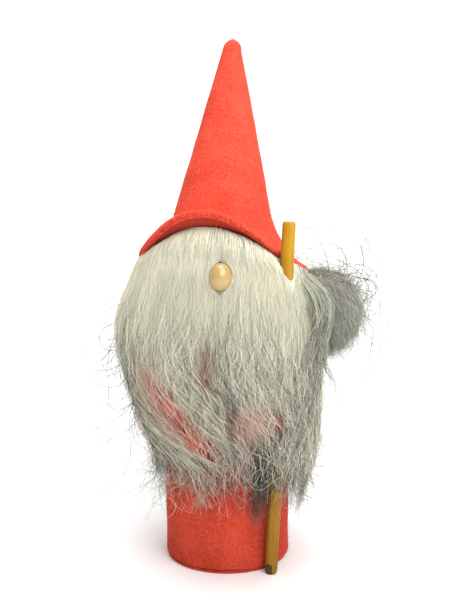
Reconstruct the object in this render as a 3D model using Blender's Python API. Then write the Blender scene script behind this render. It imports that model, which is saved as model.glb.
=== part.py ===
"""Felt tomte gnome: a weighted felt column with a cone hat, long hair, two arms, a staff and a fur sack.

Metres, +Z up. The gnome stands on z = 0 with the column's axis on the Z axis and looks along -Y.
Lengths in the constants are millimetres and angles are degrees; MM turns lengths into metres.
"""

from math import atan2, cos, degrees, exp, pi, radians, sin, sqrt

import bmesh
import bpy
from mathutils import Matrix, Vector

MM = 0.001
GAP = 0.3  # clearance between neighbouring pieces

# Column
BODY_R = 34.0  # outside of the felt sleeve
FELT = 2.0
CARD = 2.0
BASE_FELT_T = 1.6
SLEEVE_TOP = 164.0
BASE_DISC_T = 6.0
BALLAST_TOP = 40.0
CORE_R = BODY_R - FELT - GAP
BORE_R = CORE_R - CARD
COLUMN_STEPS = 40

# Head block: plug in the tube, flange on it, dome inside the hat
PLUG_BOTTOM = 142.0
DOME_H = 22.5

# Hat: straight cone above the brim, leaning towards +X
HAT_TIP_Z = 280.2
CROWN_Z = 188.0  # where the crown ends and the brim starts
CROWN_R = 26.2
TIP_R = 5.2
TIP_Z = 274.5  # where the cone ends and the rounded tip starts
TIP_RING_R = 0.97 * TIP_R
HAT_FELT = 2.0
HAT_X_AT_CROWN = -2.5
HAT_X_AT_TIP = 3.0
BRIM_BLEND = 12.0
HAT_STEPS = 36

# Brim edge: low at the sides, turned up at the front
RIM_Z = 165.0
RIM_TILT = 5.2  # the -X side is this much higher, the +X side this much lower
RIM_SAG = 5.5  # but the -X side's felt sags back by this much
RIM_SAG_WIDTH = 60.0
RIM_LIFT = 24.0
RIM_LIFT_AT = -103.0
RIM_LIFT_WIDTH = 45.0
RIM_R = 44.5
RIM_LEFT_EXTRA = 2.5
RIM_FRONT_EXTRA = 3.0
RIM_FRONT_AT = -115.0
RIM_FRONT_WIDTH = 35.0
STITCH_W = 2.6
STITCH_T = 0.8
SEAM_W = 3.2
SEAM_T = 1.0

# Hair
HIDE_T = 1.6
HIDE_BOTTOM = 148.0
HIDE_TOP = 161.0
HAIR_ROOT_R = BODY_R + HIDE_T + 2 * GAP
HAIR_IN_R = 46.3  # clears the arms
HAIR_T = 2.4  # thickness at the lower ends
HAIR_CURTAIN = (  # height, radius, extra radius at -X
    (144.0, 54.0, 4.0),
    (120.0, 54.5, 7.0),
    (98.0, 54.0, 2.5),
    (78.0, 52.5, -1.5),
)
BEARD_END_Z = 64.0
BEARD_END_R = 50.0
BEARD_END_RISE = 9.0  # shorter where the hand holds the staff
BACK_END_Z = 18.0
BACK_END_R = 41.5
BACK_END_RISE = 26.0  # shorter towards -X
FRONT_SPAN = (-168.0, -13.0)
BACK_SPAN = (-11.0, 190.0)
HIDE_SPANS = ((-168.0, -12.0), (-10.0, 190.0))

# Nose
NOSE = Vector((-2.9, -52.0, 157.0))
NOSE_SIZE = Vector((5.6, 6.0, 6.8))
PEG_R = 1.5

# Staff
STAFF_R = 3.4
STAFF_BOTTOM = Vector((23.1, -31.2, 0.3))
STAFF_TOP = Vector((31.0, -38.2, 183.5))
STAFF_TRAVEL = 100.0

# Arms
ARM_R = 5.2
ARM_WALL = 1.6
ARM_PATH_R = BODY_R + GAP + ARM_R + 0.3
SHOULDER_Z = 140.0
RIGHT_SHOULDER_AZ = -4.0
LEFT_SHOULDER_AZ = 184.0
GRIP_Z = 85.0
LEFT_HAND_Z = 71.0
LEFT_HAND_AZ = -114.0
ARM_STEPS = 14
CUFF_AT = 9  # the station where the sleeve ends and the hand shows
WRIST_R = ARM_R - ARM_WALL - GAP
HAND_R = 7.6
LEFT_HAND_R = 4.9
HAND_HALF = 9.0

# Fur sack, hung from a cord tied at the right shoulder
SACK_CENTRE = Vector((53.5, 30.5, 133.0))
SACK_R = 24.8
SACK_HAIR_T = 5.0
SACK_HIDE_T = 1.4
SACK_TIE = Vector((39.5, 17.5, 157.5))
NECK_R = 4.0
CORD_R = 1.0
SWING = (-1.5, 22.0)
SWING_CUTS = 5

# Colours, as linear RGB
COLOURS = {
    "red_felt": (0.62, 0.09, 0.05),
    "hat_felt": (0.85, 0.12, 0.07),
    "hair": (0.60, 0.57, 0.47),
    "fur": (0.27, 0.26, 0.22),
    "hide": (0.45, 0.36, 0.26),
    "pale_wood": (0.72, 0.50, 0.22),
    "stained_wood": (0.55, 0.30, 0.04),
    "plain_wood": (0.55, 0.40, 0.24),
    "card": (0.35, 0.26, 0.17),
    "wadding": (0.80, 0.80, 0.76),
    "sand_bag": (0.50, 0.45, 0.36),
    "thread": (0.72, 0.10, 0.06),
    "cord": (0.40, 0.33, 0.24),
}


# ---------------------------------------------------------------- building blocks


def clear_scene():
    for obj in list(bpy.data.objects):
        bpy.data.objects.remove(obj, do_unlink=True)


def material(name, roughness=0.9):
    mat = bpy.data.materials.get(name)
    if mat is None:
        mat = bpy.data.materials.new(name)
        mat.use_nodes = True
        shader = mat.node_tree.nodes["Principled BSDF"]
        shader.inputs["Base Color"].default_value = (*COLOURS[name], 1.0)
        shader.inputs["Roughness"].default_value = roughness
        shader.inputs["Metallic"].default_value = 0.0
    return mat


def add_object(name, points, faces, mat):
    """One closed solid from world points in millimetres, with its faces turned outwards."""
    mesh = bpy.data.meshes.new(name)
    mesh.from_pydata([Vector(p) * MM for p in points], [], faces)
    work = bmesh.new()
    work.from_mesh(mesh)
    bmesh.ops.recalc_face_normals(work, faces=work.faces)
    work.to_mesh(mesh)
    work.free()
    obj = bpy.data.objects.new(name, mesh)
    bpy.context.scene.collection.objects.link(obj)
    if mat is not None:
        mesh.materials.append(mat)
    for face in mesh.polygons:
        face.use_smooth = True
    return obj


def set_origin(obj, point):
    """Moves the object's origin to a point in millimetres and leaves its shape where it is."""
    shift = Vector(point) * MM
    obj.data.transform(Matrix.Translation(-shift))
    obj.location = shift


def polar(r, azimuth, z):
    angle = radians(azimuth)
    return Vector((r * cos(angle), r * sin(angle), z))


def arc(centre_r, centre_z, radius, start, end, steps):
    """Points (r, z) along an arc; angles are measured from +r towards +z."""
    points = []
    for i in range(steps + 1):
        angle = radians(start + (end - start) * i / steps)
        points.append((centre_r + radius * cos(angle), centre_z + radius * sin(angle)))
    return points


def revolve(name, outline, mat, steps=COLUMN_STEPS, place=None):
    """Solid of revolution about the Z axis from a closed (r, z) outline; points with r = 0 are poles.

    `place` moves the finished points, for a piece whose own axis is elsewhere.
    """
    points = []
    rings = []
    for r, z in outline:
        if r < 1e-6:
            rings.append([len(points)] * steps)
            points.append(Vector((0.0, 0.0, z)))
            continue
        rings.append(list(range(len(points), len(points) + steps)))
        points += [polar(r, 360.0 * k / steps, z) for k in range(steps)]
    faces = []
    for here, there in zip(rings, rings[1:] + rings[:1]):
        if here[0] == here[1] and there[0] == there[1]:
            continue
        for k in range(steps):
            n = (k + 1) % steps
            faces.append(list(dict.fromkeys([here[k], here[n], there[n], there[k]])))
    if place is not None:
        points = [place(p) for p in points]
    return add_object(name, points, faces, mat)


def sweep_loop(name, sections, mat, closed):
    """Skin over equal loops of points. An open sweep gets a flat cap at each end."""
    count = len(sections[0])
    points = [p for section in sections for p in section]
    faces = []
    spans = len(sections) if closed else len(sections) - 1
    for i in range(spans):
        here = i * count
        there = ((i + 1) % len(sections)) * count
        for k in range(count):
            n = (k + 1) % count
            faces.append([here + k, here + n, there + n, there + k])
    if not closed:
        last = (len(sections) - 1) * count
        faces.append(list(range(count))[::-1])
        faces.append([last + k for k in range(count)])
    return add_object(name, points, faces, mat)


def wall_round(name, span, outline_at, mat, steps):
    """A wall that runs round the column from one azimuth to another, with an (r, z) outline at each."""
    sections = []
    for i in range(steps + 1):
        azimuth = span[0] + (span[1] - span[0]) * i / steps
        sections.append([polar(r, azimuth, z) for r, z in outline_at(azimuth)])
    return sweep_loop(name, sections, mat, closed=False)


def ring_about(centre, along, radius, steps):
    """Circle of points about a centre, square to `along`."""
    along = Vector(along).normalized()
    side = along.cross(Vector((0.0, 0.0, 1.0)))
    if side.length < 0.05:
        side = Vector((1.0, 0.0, 0.0))
    side.normalize()
    up = side.cross(along)
    points = []
    for k in range(steps):
        angle = 2 * pi * k / steps
        points.append(centre + (side * cos(angle) + up * sin(angle)) * radius)
    return points


def rod(name, start, end, radius, mat, steps=20, end_round=0.0):
    """Straight round rod; end_round is how far its ends are eased."""
    along = (end - start).normalized()
    stations = [(start, radius), (end, radius)]
    if end_round > 0.0:
        stations = [
            (start, radius - end_round),
            (start + along * end_round, radius),
            (end - along * end_round, radius),
            (end, radius - end_round),
        ]
    sections = [ring_about(p, along, r, steps) for p, r in stations]
    return sweep_loop(name, sections, mat, closed=False)


def ellipsoid(name, centre, half, mat, steps=20):
    """Ellipsoid with half sizes along x, y and z."""
    rings = steps // 2
    points = [Vector((0.0, 0.0, -half[2]))]
    for i in range(1, rings):
        polar_angle = pi * i / rings
        for k in range(steps):
            angle = 2 * pi * k / steps
            r = sin(polar_angle)
            unit = (r * cos(angle), r * sin(angle), -cos(polar_angle))
            points.append(Vector([size * share for size, share in zip(half, unit)]))
    points.append(Vector((0.0, 0.0, half[2])))
    top = len(points) - 1
    faces = []
    for k in range(steps):
        n = (k + 1) % steps
        faces.append([0, 1 + n, 1 + k])
        faces.append([top, 1 + (rings - 2) * steps + k, 1 + (rings - 2) * steps + n])
        for i in range(rings - 2):
            here = 1 + i * steps
            faces.append([here + k, here + n, here + steps + n, here + steps + k])
    return add_object(name, [centre + p for p in points], faces, mat)


def as_cutter(obj):
    obj.hide_render = True
    obj.display_type = "WIRE"
    return obj


def cut(target, cutter):
    step = target.modifiers.new("cut_" + cutter.name, "BOOLEAN")
    step.operation = "DIFFERENCE"
    step.solver = "EXACT"
    step.object = cutter


# ---------------------------------------------------------------- column


def build_base():
    felt_r = BODY_R - 0.8
    outline = [(0.0, 0.0), (felt_r - 0.5, 0.0), (felt_r, 0.5), (felt_r, BASE_FELT_T), (0.0, BASE_FELT_T)]
    revolve("base_felt", outline, material("red_felt"))
    low = BASE_FELT_T + GAP
    high = low + BASE_DISC_T
    r = BORE_R - GAP
    revolve("base_disc", [(0.0, low), (r, low), (r, high), (0.0, high)], material("plain_wood", 0.7))


def build_ballast():
    low = BASE_FELT_T + BASE_DISC_T + 2 * GAP
    r = BORE_R - 1.2
    corner = 5.0
    outline = [(0.0, low)]
    outline += arc(r - corner, low + corner, corner, -90, 0, 4)
    outline += arc(r - corner, BALLAST_TOP - corner, corner, 0, 90, 4)
    outline += [(0.0, BALLAST_TOP)]
    revolve("ballast_bag", outline, material("sand_bag"))


def build_core_tube():
    low = BASE_FELT_T + GAP
    outline = [(BORE_R, low), (CORE_R, low), (CORE_R, SLEEVE_TOP - CARD), (BORE_R, SLEEVE_TOP - CARD)]
    revolve("core_tube", outline, material("card", 0.8))


def build_body_sleeve():
    low = BASE_FELT_T + GAP
    inner = BODY_R - FELT
    turn_in = 2.0  # the eased lower edge
    outline = [(inner, low), (BODY_R - turn_in, low)]
    outline += arc(BODY_R - turn_in, low + turn_in, turn_in, -60, 0, 3)
    outline += [(BODY_R, SLEEVE_TOP - 1.0), (BODY_R - 1.0, SLEEVE_TOP), (inner, SLEEVE_TOP)]
    return revolve("body_sleeve", outline, material("red_felt"))


def build_head_block():
    plug_r = BORE_R - GAP
    flange_z = SLEEVE_TOP - CARD + GAP
    dome_r = CORE_R - 2.2
    outline = [(0.0, PLUG_BOTTOM), (plug_r, PLUG_BOTTOM), (plug_r, flange_z), (CORE_R - 0.5, flange_z)]
    outline += [(CORE_R - 0.5, SLEEVE_TOP)]
    steps = 8
    for i in range(steps):
        angle = radians(90 * i / steps)
        outline.append((dome_r * cos(angle), SLEEVE_TOP + DOME_H * sin(angle)))
    outline.append((0.0, SLEEVE_TOP + DOME_H))
    revolve("head_block", outline, material("plain_wood", 0.7))


def bell(azimuth, centre, width):
    """1 at an azimuth, falling smoothly to 0 on both sides of it."""
    away = (azimuth - centre + 180.0) % 360.0 - 180.0
    return exp(-((away / width) ** 2))


# ---------------------------------------------------------------- hat


def hat_axis_x(z):
    share = (z - CROWN_Z) / (HAT_TIP_Z - CROWN_Z)
    return HAT_X_AT_CROWN + (HAT_X_AT_TIP - HAT_X_AT_CROWN) * max(share, 0.0)


def rim_lift(azimuth):
    """0 at the sides and back, 1 where the front of the brim is turned up furthest."""
    return bell(azimuth, RIM_LIFT_AT, RIM_LIFT_WIDTH)


def rim_radius(azimuth):
    front = RIM_FRONT_EXTRA * bell(azimuth, RIM_FRONT_AT, RIM_FRONT_WIDTH)
    return RIM_R - RIM_LEFT_EXTRA * cos(radians(azimuth)) + front


def rim_height(azimuth):
    sag = RIM_SAG * bell(azimuth, 180.0, RIM_SAG_WIDTH)
    return RIM_Z - RIM_TILT * cos(radians(azimuth)) + RIM_LIFT * rim_lift(azimuth) - sag


def brim_curve(azimuth, steps):
    """(r, z) from the crown's foot out to the brim's edge: a curve that dips before a turned-up edge."""
    edge_r = rim_radius(azimuth)
    edge_z = rim_height(azimuth)
    lift = rim_lift(azimuth)
    start = Vector((CROWN_R, CROWN_Z))
    first = Vector((CROWN_R + 2.0, CROWN_Z - 9.0))
    second = Vector((edge_r - 8.0, edge_z + 5.0 - 13.0 * lift))
    end = Vector((edge_r, edge_z))
    points = []
    for i in range(steps + 1):
        t = i / steps
        s = 1.0 - t
        points.append(start * s**3 + first * 3 * s * s * t + second * 3 * s * t * t + end * t**3)
    return points


def crown_curve(steps):
    """(r, z) from the tip's last ring down to the crown's foot."""
    top = Vector((TIP_RING_R, TIP_Z))
    foot = Vector((CROWN_R, CROWN_Z))
    return [top.lerp(foot, i / steps) for i in range(steps)]


def hat_profile(azimuth):
    """Outside of the hat from near the tip to the brim's edge, in the plane of one azimuth."""
    tip = [Vector((TIP_R * 0.75, TIP_Z + TIP_R * 0.72))]
    return tip + crown_curve(5) + brim_curve(azimuth, 7)


def hat_point(r, azimuth, z):
    """The crown is measured from the hat's own leaning axis; that shift dies out across the brim."""
    point = polar(r, azimuth, z)
    share = min(1.0, max(0.0, 1.0 - (r - CROWN_R) / BRIM_BLEND))
    point.x += hat_axis_x(z) * share
    return point


def inward(curve, distance):
    """Offset to the right of the direction of travel: the hat's inside when walking down its profile."""
    moved = []
    for i, point in enumerate(curve):
        before = curve[max(i - 1, 0)]
        after = curve[min(i + 1, len(curve) - 1)]
        along = (after - before).normalized()
        moved.append(point + Vector((along.y, -along.x)) * distance)
    return moved


def build_hat_shell():
    """Felt cone: an outside and an inside skin joined round the brim's edge."""
    points = []
    rings = []
    for skin in ("outside", "inside"):
        profiles = []
        for k in range(HAT_STEPS):
            azimuth = 360.0 * k / HAT_STEPS - 180.0
            curve = hat_profile(azimuth)
            if skin == "inside":
                curve = inward(curve, HAT_FELT)[::-1]
            profiles.append([hat_point(max(p.x, 0.6), azimuth, p.y) for p in curve])
        for i in range(len(profiles[0])):
            rings.append(list(range(len(points), len(points) + HAT_STEPS)))
            points += [profile[i] for profile in profiles]
    faces = []
    for here, there in zip(rings, rings[1:]):
        for k in range(HAT_STEPS):
            n = (k + 1) % HAT_STEPS
            faces.append([here[k], here[n], there[n], there[k]])
    for ring, z in ((rings[0], HAT_TIP_Z), (rings[-1], HAT_TIP_Z - HAT_FELT)):
        pole = len(points)
        points.append(Vector((hat_axis_x(z), 0.0, z)))
        for k in range(HAT_STEPS):
            faces.append([pole, ring[k], ring[(k + 1) % HAT_STEPS]])
    add_object("hat_shell", points, faces, material("hat_felt"))


def build_brim_stitching():
    """Band of overlock thread wrapped round the brim's edge, a U in section."""
    sections = []
    for k in range(HAT_STEPS):
        azimuth = 360.0 * k / HAT_STEPS - 180.0
        curve = brim_curve(azimuth, 7)
        along = (curve[-1] - curve[-2]).normalized()
        normal = Vector((along.y, -along.x))
        edge = curve[-1]
        near = edge - along * STITCH_W
        far = edge + along * GAP
        tip = far + along * STITCH_T
        inside = HAT_FELT + GAP
        outline = [
            near - normal * (GAP + STITCH_T),
            tip - normal * (GAP + STITCH_T),
            tip + normal * (inside + STITCH_T),
            near + normal * (inside + STITCH_T),
            near + normal * inside,
            far + normal * inside,
            far - normal * GAP,
            near - normal * GAP,
        ]
        sections.append([hat_point(p.x, azimuth, p.y) for p in outline])
    sweep_loop("brim_stitching", sections, material("thread"), closed=True)


def build_hat_stuffing():
    """Wadding that fills the cone above the head block."""
    clear = HAT_FELT + 3 * GAP
    low = SLEEVE_TOP + DOME_H + GAP
    high = TIP_Z - 2.0
    spans = 7
    around = 28
    sections = []
    for i in range(spans + 1):
        z = low + (high - low) * i / spans
        share = (z - CROWN_Z) / (TIP_Z - CROWN_Z)
        r = CROWN_R + (TIP_RING_R - CROWN_R) * max(share, 0.0) - clear
        centre = Vector((hat_axis_x(z), 0.0, z))
        sections.append([centre + polar(r, 360.0 * k / around, 0.0) for k in range(around)])
    sweep_loop("hat_stuffing", sections, material("wadding"), closed=False)


def build_hat_back_seam():
    """Flat raised seam down the back of the cone, where the felt sheet meets itself."""
    width = SEAM_W / 2
    height = SEAM_T
    azimuth = 90.0
    profile = hat_profile(azimuth)[1:-2]
    sections = []
    for below, above in zip(inward(profile, -GAP), inward(profile, -GAP - height)):
        low = hat_point(below.x, azimuth, below.y)
        high = hat_point(above.x, azimuth, above.y)
        side = Vector((width, 0.0, 0.0))
        sections.append([low - side, low + side, high + side * 0.6, high - side * 0.6])
    sweep_loop("hat_back_seam", sections, material("thread"), closed=False)


# ---------------------------------------------------------------- hair


def build_hides():
    """Two strips of hide round the top of the sleeve, which the hair grows from."""
    inner = BODY_R + GAP
    outer = inner + HIDE_T
    outline = [(inner, HIDE_BOTTOM), (outer, HIDE_BOTTOM), (outer, HIDE_TOP), (inner, HIDE_TOP)]
    front, back = HIDE_SPANS
    strip = wall_round("beard_hide", front, lambda azimuth: outline, material("hide", 0.7), 20)
    wall_round("nape_hide", back, lambda azimuth: outline, material("hide", 0.7), 26)
    return strip


def under_brim(azimuth):
    """Points (r, z) just under the brim, from the hide out to the brim's edge."""
    curve = inward(brim_curve(azimuth, 16), HAT_FELT + STITCH_T + 1.6)
    low_enough = [p for p in curve if p.x > HAIR_ROOT_R + 1.0 and p.x < rim_radius(azimuth) - 1.0]
    start = min(low_enough[0].y, HIDE_TOP + 2.0)
    middle = low_enough[len(low_enough) // 2]
    end = low_enough[-1]
    return [(HAIR_ROOT_R, start), (middle.x, min(middle.y, start + 8.0)), (end.x, end.y)]


def hair_outline(azimuth, end_z, end_r):
    """(r, z) outline of the hair: thick under the brim, then a curtain that hangs clear of the arms."""
    left = bell(azimuth, 180.0, 50.0)
    roots = under_brim(azimuth)
    edge_r, edge_z = roots[-1]
    shoulder = (max(edge_r + 3.0, 49.0 + 3.0 * left), min(edge_z - 6.0, HIDE_TOP - 3.0))
    curtain = [(r + extra * left, z) for z, r, extra in HAIR_CURTAIN]
    end = [(end_r, end_z), (end_r - HAIR_T, end_z)]
    inside = [(HAIR_IN_R, max(end_z + 14.0, 60.0)), (HAIR_IN_R, HIDE_BOTTOM - 0.5)]
    inside.append((HAIR_ROOT_R, HIDE_BOTTOM + 0.5))
    return [*roots, shoulder, *curtain, *end, *inside]


def beard_outline(azimuth):
    rise = BEARD_END_RISE * bell(azimuth, -60.0, 22.0)
    return hair_outline(azimuth, BEARD_END_Z + rise, BEARD_END_R)


def back_outline(azimuth):
    rise = BACK_END_RISE * bell(azimuth, 190.0, 30.0)
    return hair_outline(azimuth, BACK_END_Z + rise, BACK_END_R)


def build_hair(front_cutters, back_cutters):
    beard = wall_round("beard_hair", FRONT_SPAN, beard_outline, material("hair"), 26)
    back = wall_round("back_hair", BACK_SPAN, back_outline, material("hair"), 30)
    for room in front_cutters:
        cut(beard, room)
    for room in back_cutters:
        cut(back, room)


# ---------------------------------------------------------------- nose


def build_nose(strip, sleeve):
    """Bead with a blind hole at its back, on a peg that runs through hair and hide into the felt.

    Returns the cutters that make room for both in the hair.
    """
    bead = ellipsoid("nose_bead", NOSE, NOSE_SIZE, material("pale_wood", 0.3), steps=24)
    peg_start = Vector((NOSE.x, NOSE.y + 0.5, NOSE.z))
    peg_end = Vector((NOSE.x, -CORE_R - GAP, NOSE.z))
    rod("nose_peg", peg_start, peg_end, PEG_R, material("plain_wood", 0.7), steps=12)
    past = Vector((0.0, 0.6, 0.0))
    hole = as_cutter(rod("peg_hole_cutter", peg_start - past, peg_end + past, PEG_R + 0.25, None, steps=12))
    for target in (bead, strip, sleeve):
        cut(target, hole)
    room_size = NOSE_SIZE + Vector((0.5, 0.5, 0.5))
    room = as_cutter(ellipsoid("nose_room_cutter", NOSE, room_size, None, steps=20))
    return [hole, room]


# ---------------------------------------------------------------- staff and arms


def staff_at(z):
    share = (z - STAFF_BOTTOM.z) / (STAFF_TOP.z - STAFF_BOTTOM.z)
    return STAFF_BOTTOM.lerp(STAFF_TOP, share)


def build_staff():
    staff = rod("staff", STAFF_BOTTOM, STAFF_TOP, STAFF_R, material("stained_wood", 0.5), 24, end_round=0.5)
    set_origin(staff, staff_at(GRIP_Z))


def staff_cutter(name, clearance):
    """Room for the staff, also above it, where it slides out."""
    along = (STAFF_TOP - STAFF_BOTTOM).normalized()
    start = STAFF_BOTTOM - along * 10.0
    end = STAFF_TOP + along * STAFF_TRAVEL
    return as_cutter(rod(name, start, end, STAFF_R + clearance, None, steps=24))


def arm_points(start_az, hand):
    """Centre line of an arm: down from the shoulder, then round the column to the middle of the hand."""
    end_az = degrees(atan2(hand.y, hand.x))
    if start_az > 0.0:
        end_az += 360.0
    end_r = hand.xy.length
    points = []
    for i in range(ARM_STEPS + 1):
        t = i / ARM_STEPS
        azimuth = start_az + (end_az - start_az) * t * t * (3.0 - 2.0 * t)
        z = SHOULDER_Z + (hand.z - SHOULDER_Z) * (1.0 - (1.0 - t) ** 1.5)
        points.append(polar(ARM_PATH_R + (end_r - ARM_PATH_R) * t**5, azimuth, z))
    return points


def tube_sections(points, radius, steps):
    sections = []
    for i, point in enumerate(points):
        before = points[max(i - 1, 0)]
        after = points[min(i + 1, len(points) - 1)]
        sections.append(ring_about(point, after - before, radius, steps))
    return sections


def build_arm(name, points):
    """Hollow felt tube, open at the shoulder and at the cuff."""
    outside = tube_sections(points[: CUFF_AT + 1], ARM_R, 12)
    inside = tube_sections(points[: CUFF_AT + 1], ARM_R - ARM_WALL, 12)
    sweep_loop(name, outside + inside[::-1], material("red_felt"), closed=True)


def build_mitten(name, points, hand_r, mat, half=HAND_HALF):
    """Rounded hand centred on the path's end, with a wrist that sits inside the cuff."""
    hand = points[-1]
    along = (hand - points[CUFF_AT]).normalized()
    stations = [(points[CUFF_AT - 2], WRIST_R), (points[CUFF_AT], WRIST_R)]
    rings = 8
    for i in range(1, rings):
        angle = pi * i / rings
        stations.append((hand - along * half * cos(angle), hand_r * sin(angle)))
    sections = []
    for i, (point, radius) in enumerate(stations):
        before = stations[max(i - 1, 0)][0]
        after = stations[min(i + 1, len(stations) - 1)][0]
        sections.append(ring_about(point, after - before, radius, 14))
    return sweep_loop(name, sections, mat, closed=False)


def build_arms():
    """Sleeves and mittens, the right one with the hole for the staff. Returns its room in the hair."""
    grip = staff_at(GRIP_Z)
    right = arm_points(RIGHT_SHOULDER_AZ, grip)
    build_arm("arm_sleeve_right", right)
    mitten_mat = material("red_felt")
    mitten = build_mitten("mitten_right", right, HAND_R, mitten_mat)
    cut(mitten, staff_cutter("grip_hole_cutter", 0.25))
    left = arm_points(LEFT_SHOULDER_AZ, polar(ARM_PATH_R, LEFT_HAND_AZ, LEFT_HAND_Z))
    build_arm("arm_sleeve_left", left)
    build_mitten("mitten_left", left, LEFT_HAND_R, mitten_mat)
    room = 0.8  # the hair keeps this far from the hand
    return as_cutter(build_mitten("grip_room_cutter", right, HAND_R + room, None, HAND_HALF + room))


# ---------------------------------------------------------------- sack


def sack_place(point):
    """From the sack's own frame, +Z from its centre towards the tie, to the gnome's."""
    along = (SACK_TIE - SACK_CENTRE).normalized()
    turn = Vector((0.0, 0.0, 1.0)).rotation_difference(along)
    return SACK_CENTRE + turn @ point


def sack_round(name, outline, mat, steps=20):
    """Round piece about the sack's own axis, hung from the tie."""
    obj = revolve(name, outline, mat, steps=steps, place=sack_place)
    set_origin(obj, SACK_TIE)


def bowl(radius, mouth_r, steps):
    """Arc (r, z) from a mouth at the top round to the bottom pole."""
    start = degrees(atan2(sqrt(radius**2 - mouth_r**2), mouth_r))
    return arc(0.0, 0.0, radius, start, -90.0, steps)


def build_sack():
    """Stuffed hide ball with fur outside, gathered at a neck and tied with a cord."""
    reach = (SACK_TIE - SACK_CENTRE).length
    neck_in = NECK_R - SACK_HIDE_T
    hide_out = SACK_R - SACK_HAIR_T - GAP
    hide_in = hide_out - SACK_HIDE_T
    mouth_r = NECK_R + 2.6
    fur = bowl(SACK_R, mouth_r, 9) + bowl(SACK_R - SACK_HAIR_T, mouth_r, 9)[::-1]
    sack_round("sack_hair", fur, material("fur"))
    hide = [(NECK_R, reach)] + bowl(hide_out, NECK_R, 9)
    hide += bowl(hide_in, neck_in, 9)[::-1] + [(neck_in, reach)]
    sack_round("sack_hide", hide, material("hide", 0.7))
    sack_round("sack_stuffing", arc(0.0, 0.0, hide_in - 2 * GAP, 90.0, -90.0, 9), material("wadding"))
    cord = arc(NECK_R + GAP + CORD_R, reach - 2.5, CORD_R, 0.0, 300.0, 5)
    sack_round("sack_cord", cord, material("cord"))


def sack_cutters():
    """Room for the sack and its neck at rest and through its swing."""
    axis = swing_axis()
    cutters = []
    for i in range(SWING_CUTS):
        angle = SWING[0] + (SWING[1] - SWING[0]) * i / (SWING_CUTS - 1)
        spin = Matrix.Rotation(radians(angle), 3, axis)
        centre = SACK_TIE + spin @ (SACK_CENTRE - SACK_TIE)
        room = ellipsoid("sack_room_cutter_%d" % i, centre, Vector((SACK_R + 1.0,) * 3), None, steps=18)
        cutters.append(as_cutter(room))
    up = (SACK_TIE - SACK_CENTRE).normalized()
    neck = rod("sack_neck_cutter", SACK_CENTRE + up * 10.0, SACK_TIE + up * 4.0, NECK_R + 4.0, None, steps=14)
    cutters.append(as_cutter(neck))
    return cutters


def swing_axis():
    """Horizontal axis through the tie, square to the way out, so that a positive turn swings the sack out."""
    out = Vector((SACK_TIE.x, SACK_TIE.y, 0.0)).normalized()
    return Vector((0.0, 0.0, 1.0)).cross(out) * -1.0


def main():
    clear_scene()
    build_base()
    build_ballast()
    build_core_tube()
    sleeve = build_body_sleeve()
    build_head_block()
    build_hat_shell()
    build_brim_stitching()
    build_hat_stuffing()
    build_hat_back_seam()
    strip = build_hides()
    build_staff()
    grip_room = build_arms()
    build_sack()
    nose_cutters = build_nose(strip, sleeve)
    build_hair([*nose_cutters, staff_cutter("staff_room_cutter", 0.5), grip_room], sack_cutters())


main()
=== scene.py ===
"""Looks for the felt tomte gnome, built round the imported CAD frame.

All shapes are worked out in millimetres and turned into metres when a mesh is made. Angles are degrees.
Azimuth is measured about +Z from +X, so the face looks along azimuth -90. The hair hangs from the head in
locks of thin closed strands over a denser undercoat, clear of the nose, the staff, the arms and the sack.
"""

from math import pi, radians

import bpy
import numpy as np
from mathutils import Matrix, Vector


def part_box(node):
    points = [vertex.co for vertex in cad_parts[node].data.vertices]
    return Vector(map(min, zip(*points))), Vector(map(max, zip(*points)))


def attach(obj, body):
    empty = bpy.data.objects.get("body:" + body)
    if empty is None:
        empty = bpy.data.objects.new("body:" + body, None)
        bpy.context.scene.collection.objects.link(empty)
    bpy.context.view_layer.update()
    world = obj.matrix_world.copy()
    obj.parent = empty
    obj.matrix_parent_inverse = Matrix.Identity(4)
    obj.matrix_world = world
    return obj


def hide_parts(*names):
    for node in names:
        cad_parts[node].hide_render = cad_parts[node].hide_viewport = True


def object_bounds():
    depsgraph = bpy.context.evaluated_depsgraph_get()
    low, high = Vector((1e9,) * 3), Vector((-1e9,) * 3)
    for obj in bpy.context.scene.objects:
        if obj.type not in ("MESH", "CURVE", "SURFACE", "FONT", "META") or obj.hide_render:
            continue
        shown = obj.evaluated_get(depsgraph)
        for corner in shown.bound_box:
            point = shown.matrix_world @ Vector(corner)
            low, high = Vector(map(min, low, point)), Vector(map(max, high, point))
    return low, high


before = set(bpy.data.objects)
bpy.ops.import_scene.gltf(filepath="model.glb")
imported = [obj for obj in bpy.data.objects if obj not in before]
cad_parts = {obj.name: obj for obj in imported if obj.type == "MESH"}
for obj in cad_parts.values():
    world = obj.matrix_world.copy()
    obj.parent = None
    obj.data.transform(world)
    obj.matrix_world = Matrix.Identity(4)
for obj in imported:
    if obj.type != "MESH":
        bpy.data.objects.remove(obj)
cad_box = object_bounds()

MM = 0.001
SEED = 20
UP = np.array([0, 0, 1])
LEVEL = np.array([1, 1, 0])


def span_mm(node):
    """Lowest and highest corner of a CAD node, in millimetres."""
    low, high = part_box(node)
    return np.array(low) / MM, np.array(high) / MM


# ------------------------ sizes taken from the frame

sleeve_low, sleeve_high = span_mm("body_sleeve")
BODY_R = sleeve_high[0]
SLEEVE_TOP = sleeve_high[2]
SLEEVE_BOTTOM = sleeve_low[2]
FELT = 2

nose_low, nose_high = span_mm("nose_bead")
NOSE = (nose_low + nose_high) / 2
NOSE_HALF = (nose_high - nose_low) / 2

staff_low, staff_high = span_mm("staff")
STAFF_R = 3.4
STAFF_BOTTOM = np.array([staff_low[0] + STAFF_R, staff_high[1] - STAFF_R, staff_low[2]])
STAFF_TOP = np.array([staff_high[0] - STAFF_R, staff_low[1] + STAFF_R, staff_high[2]])

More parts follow.
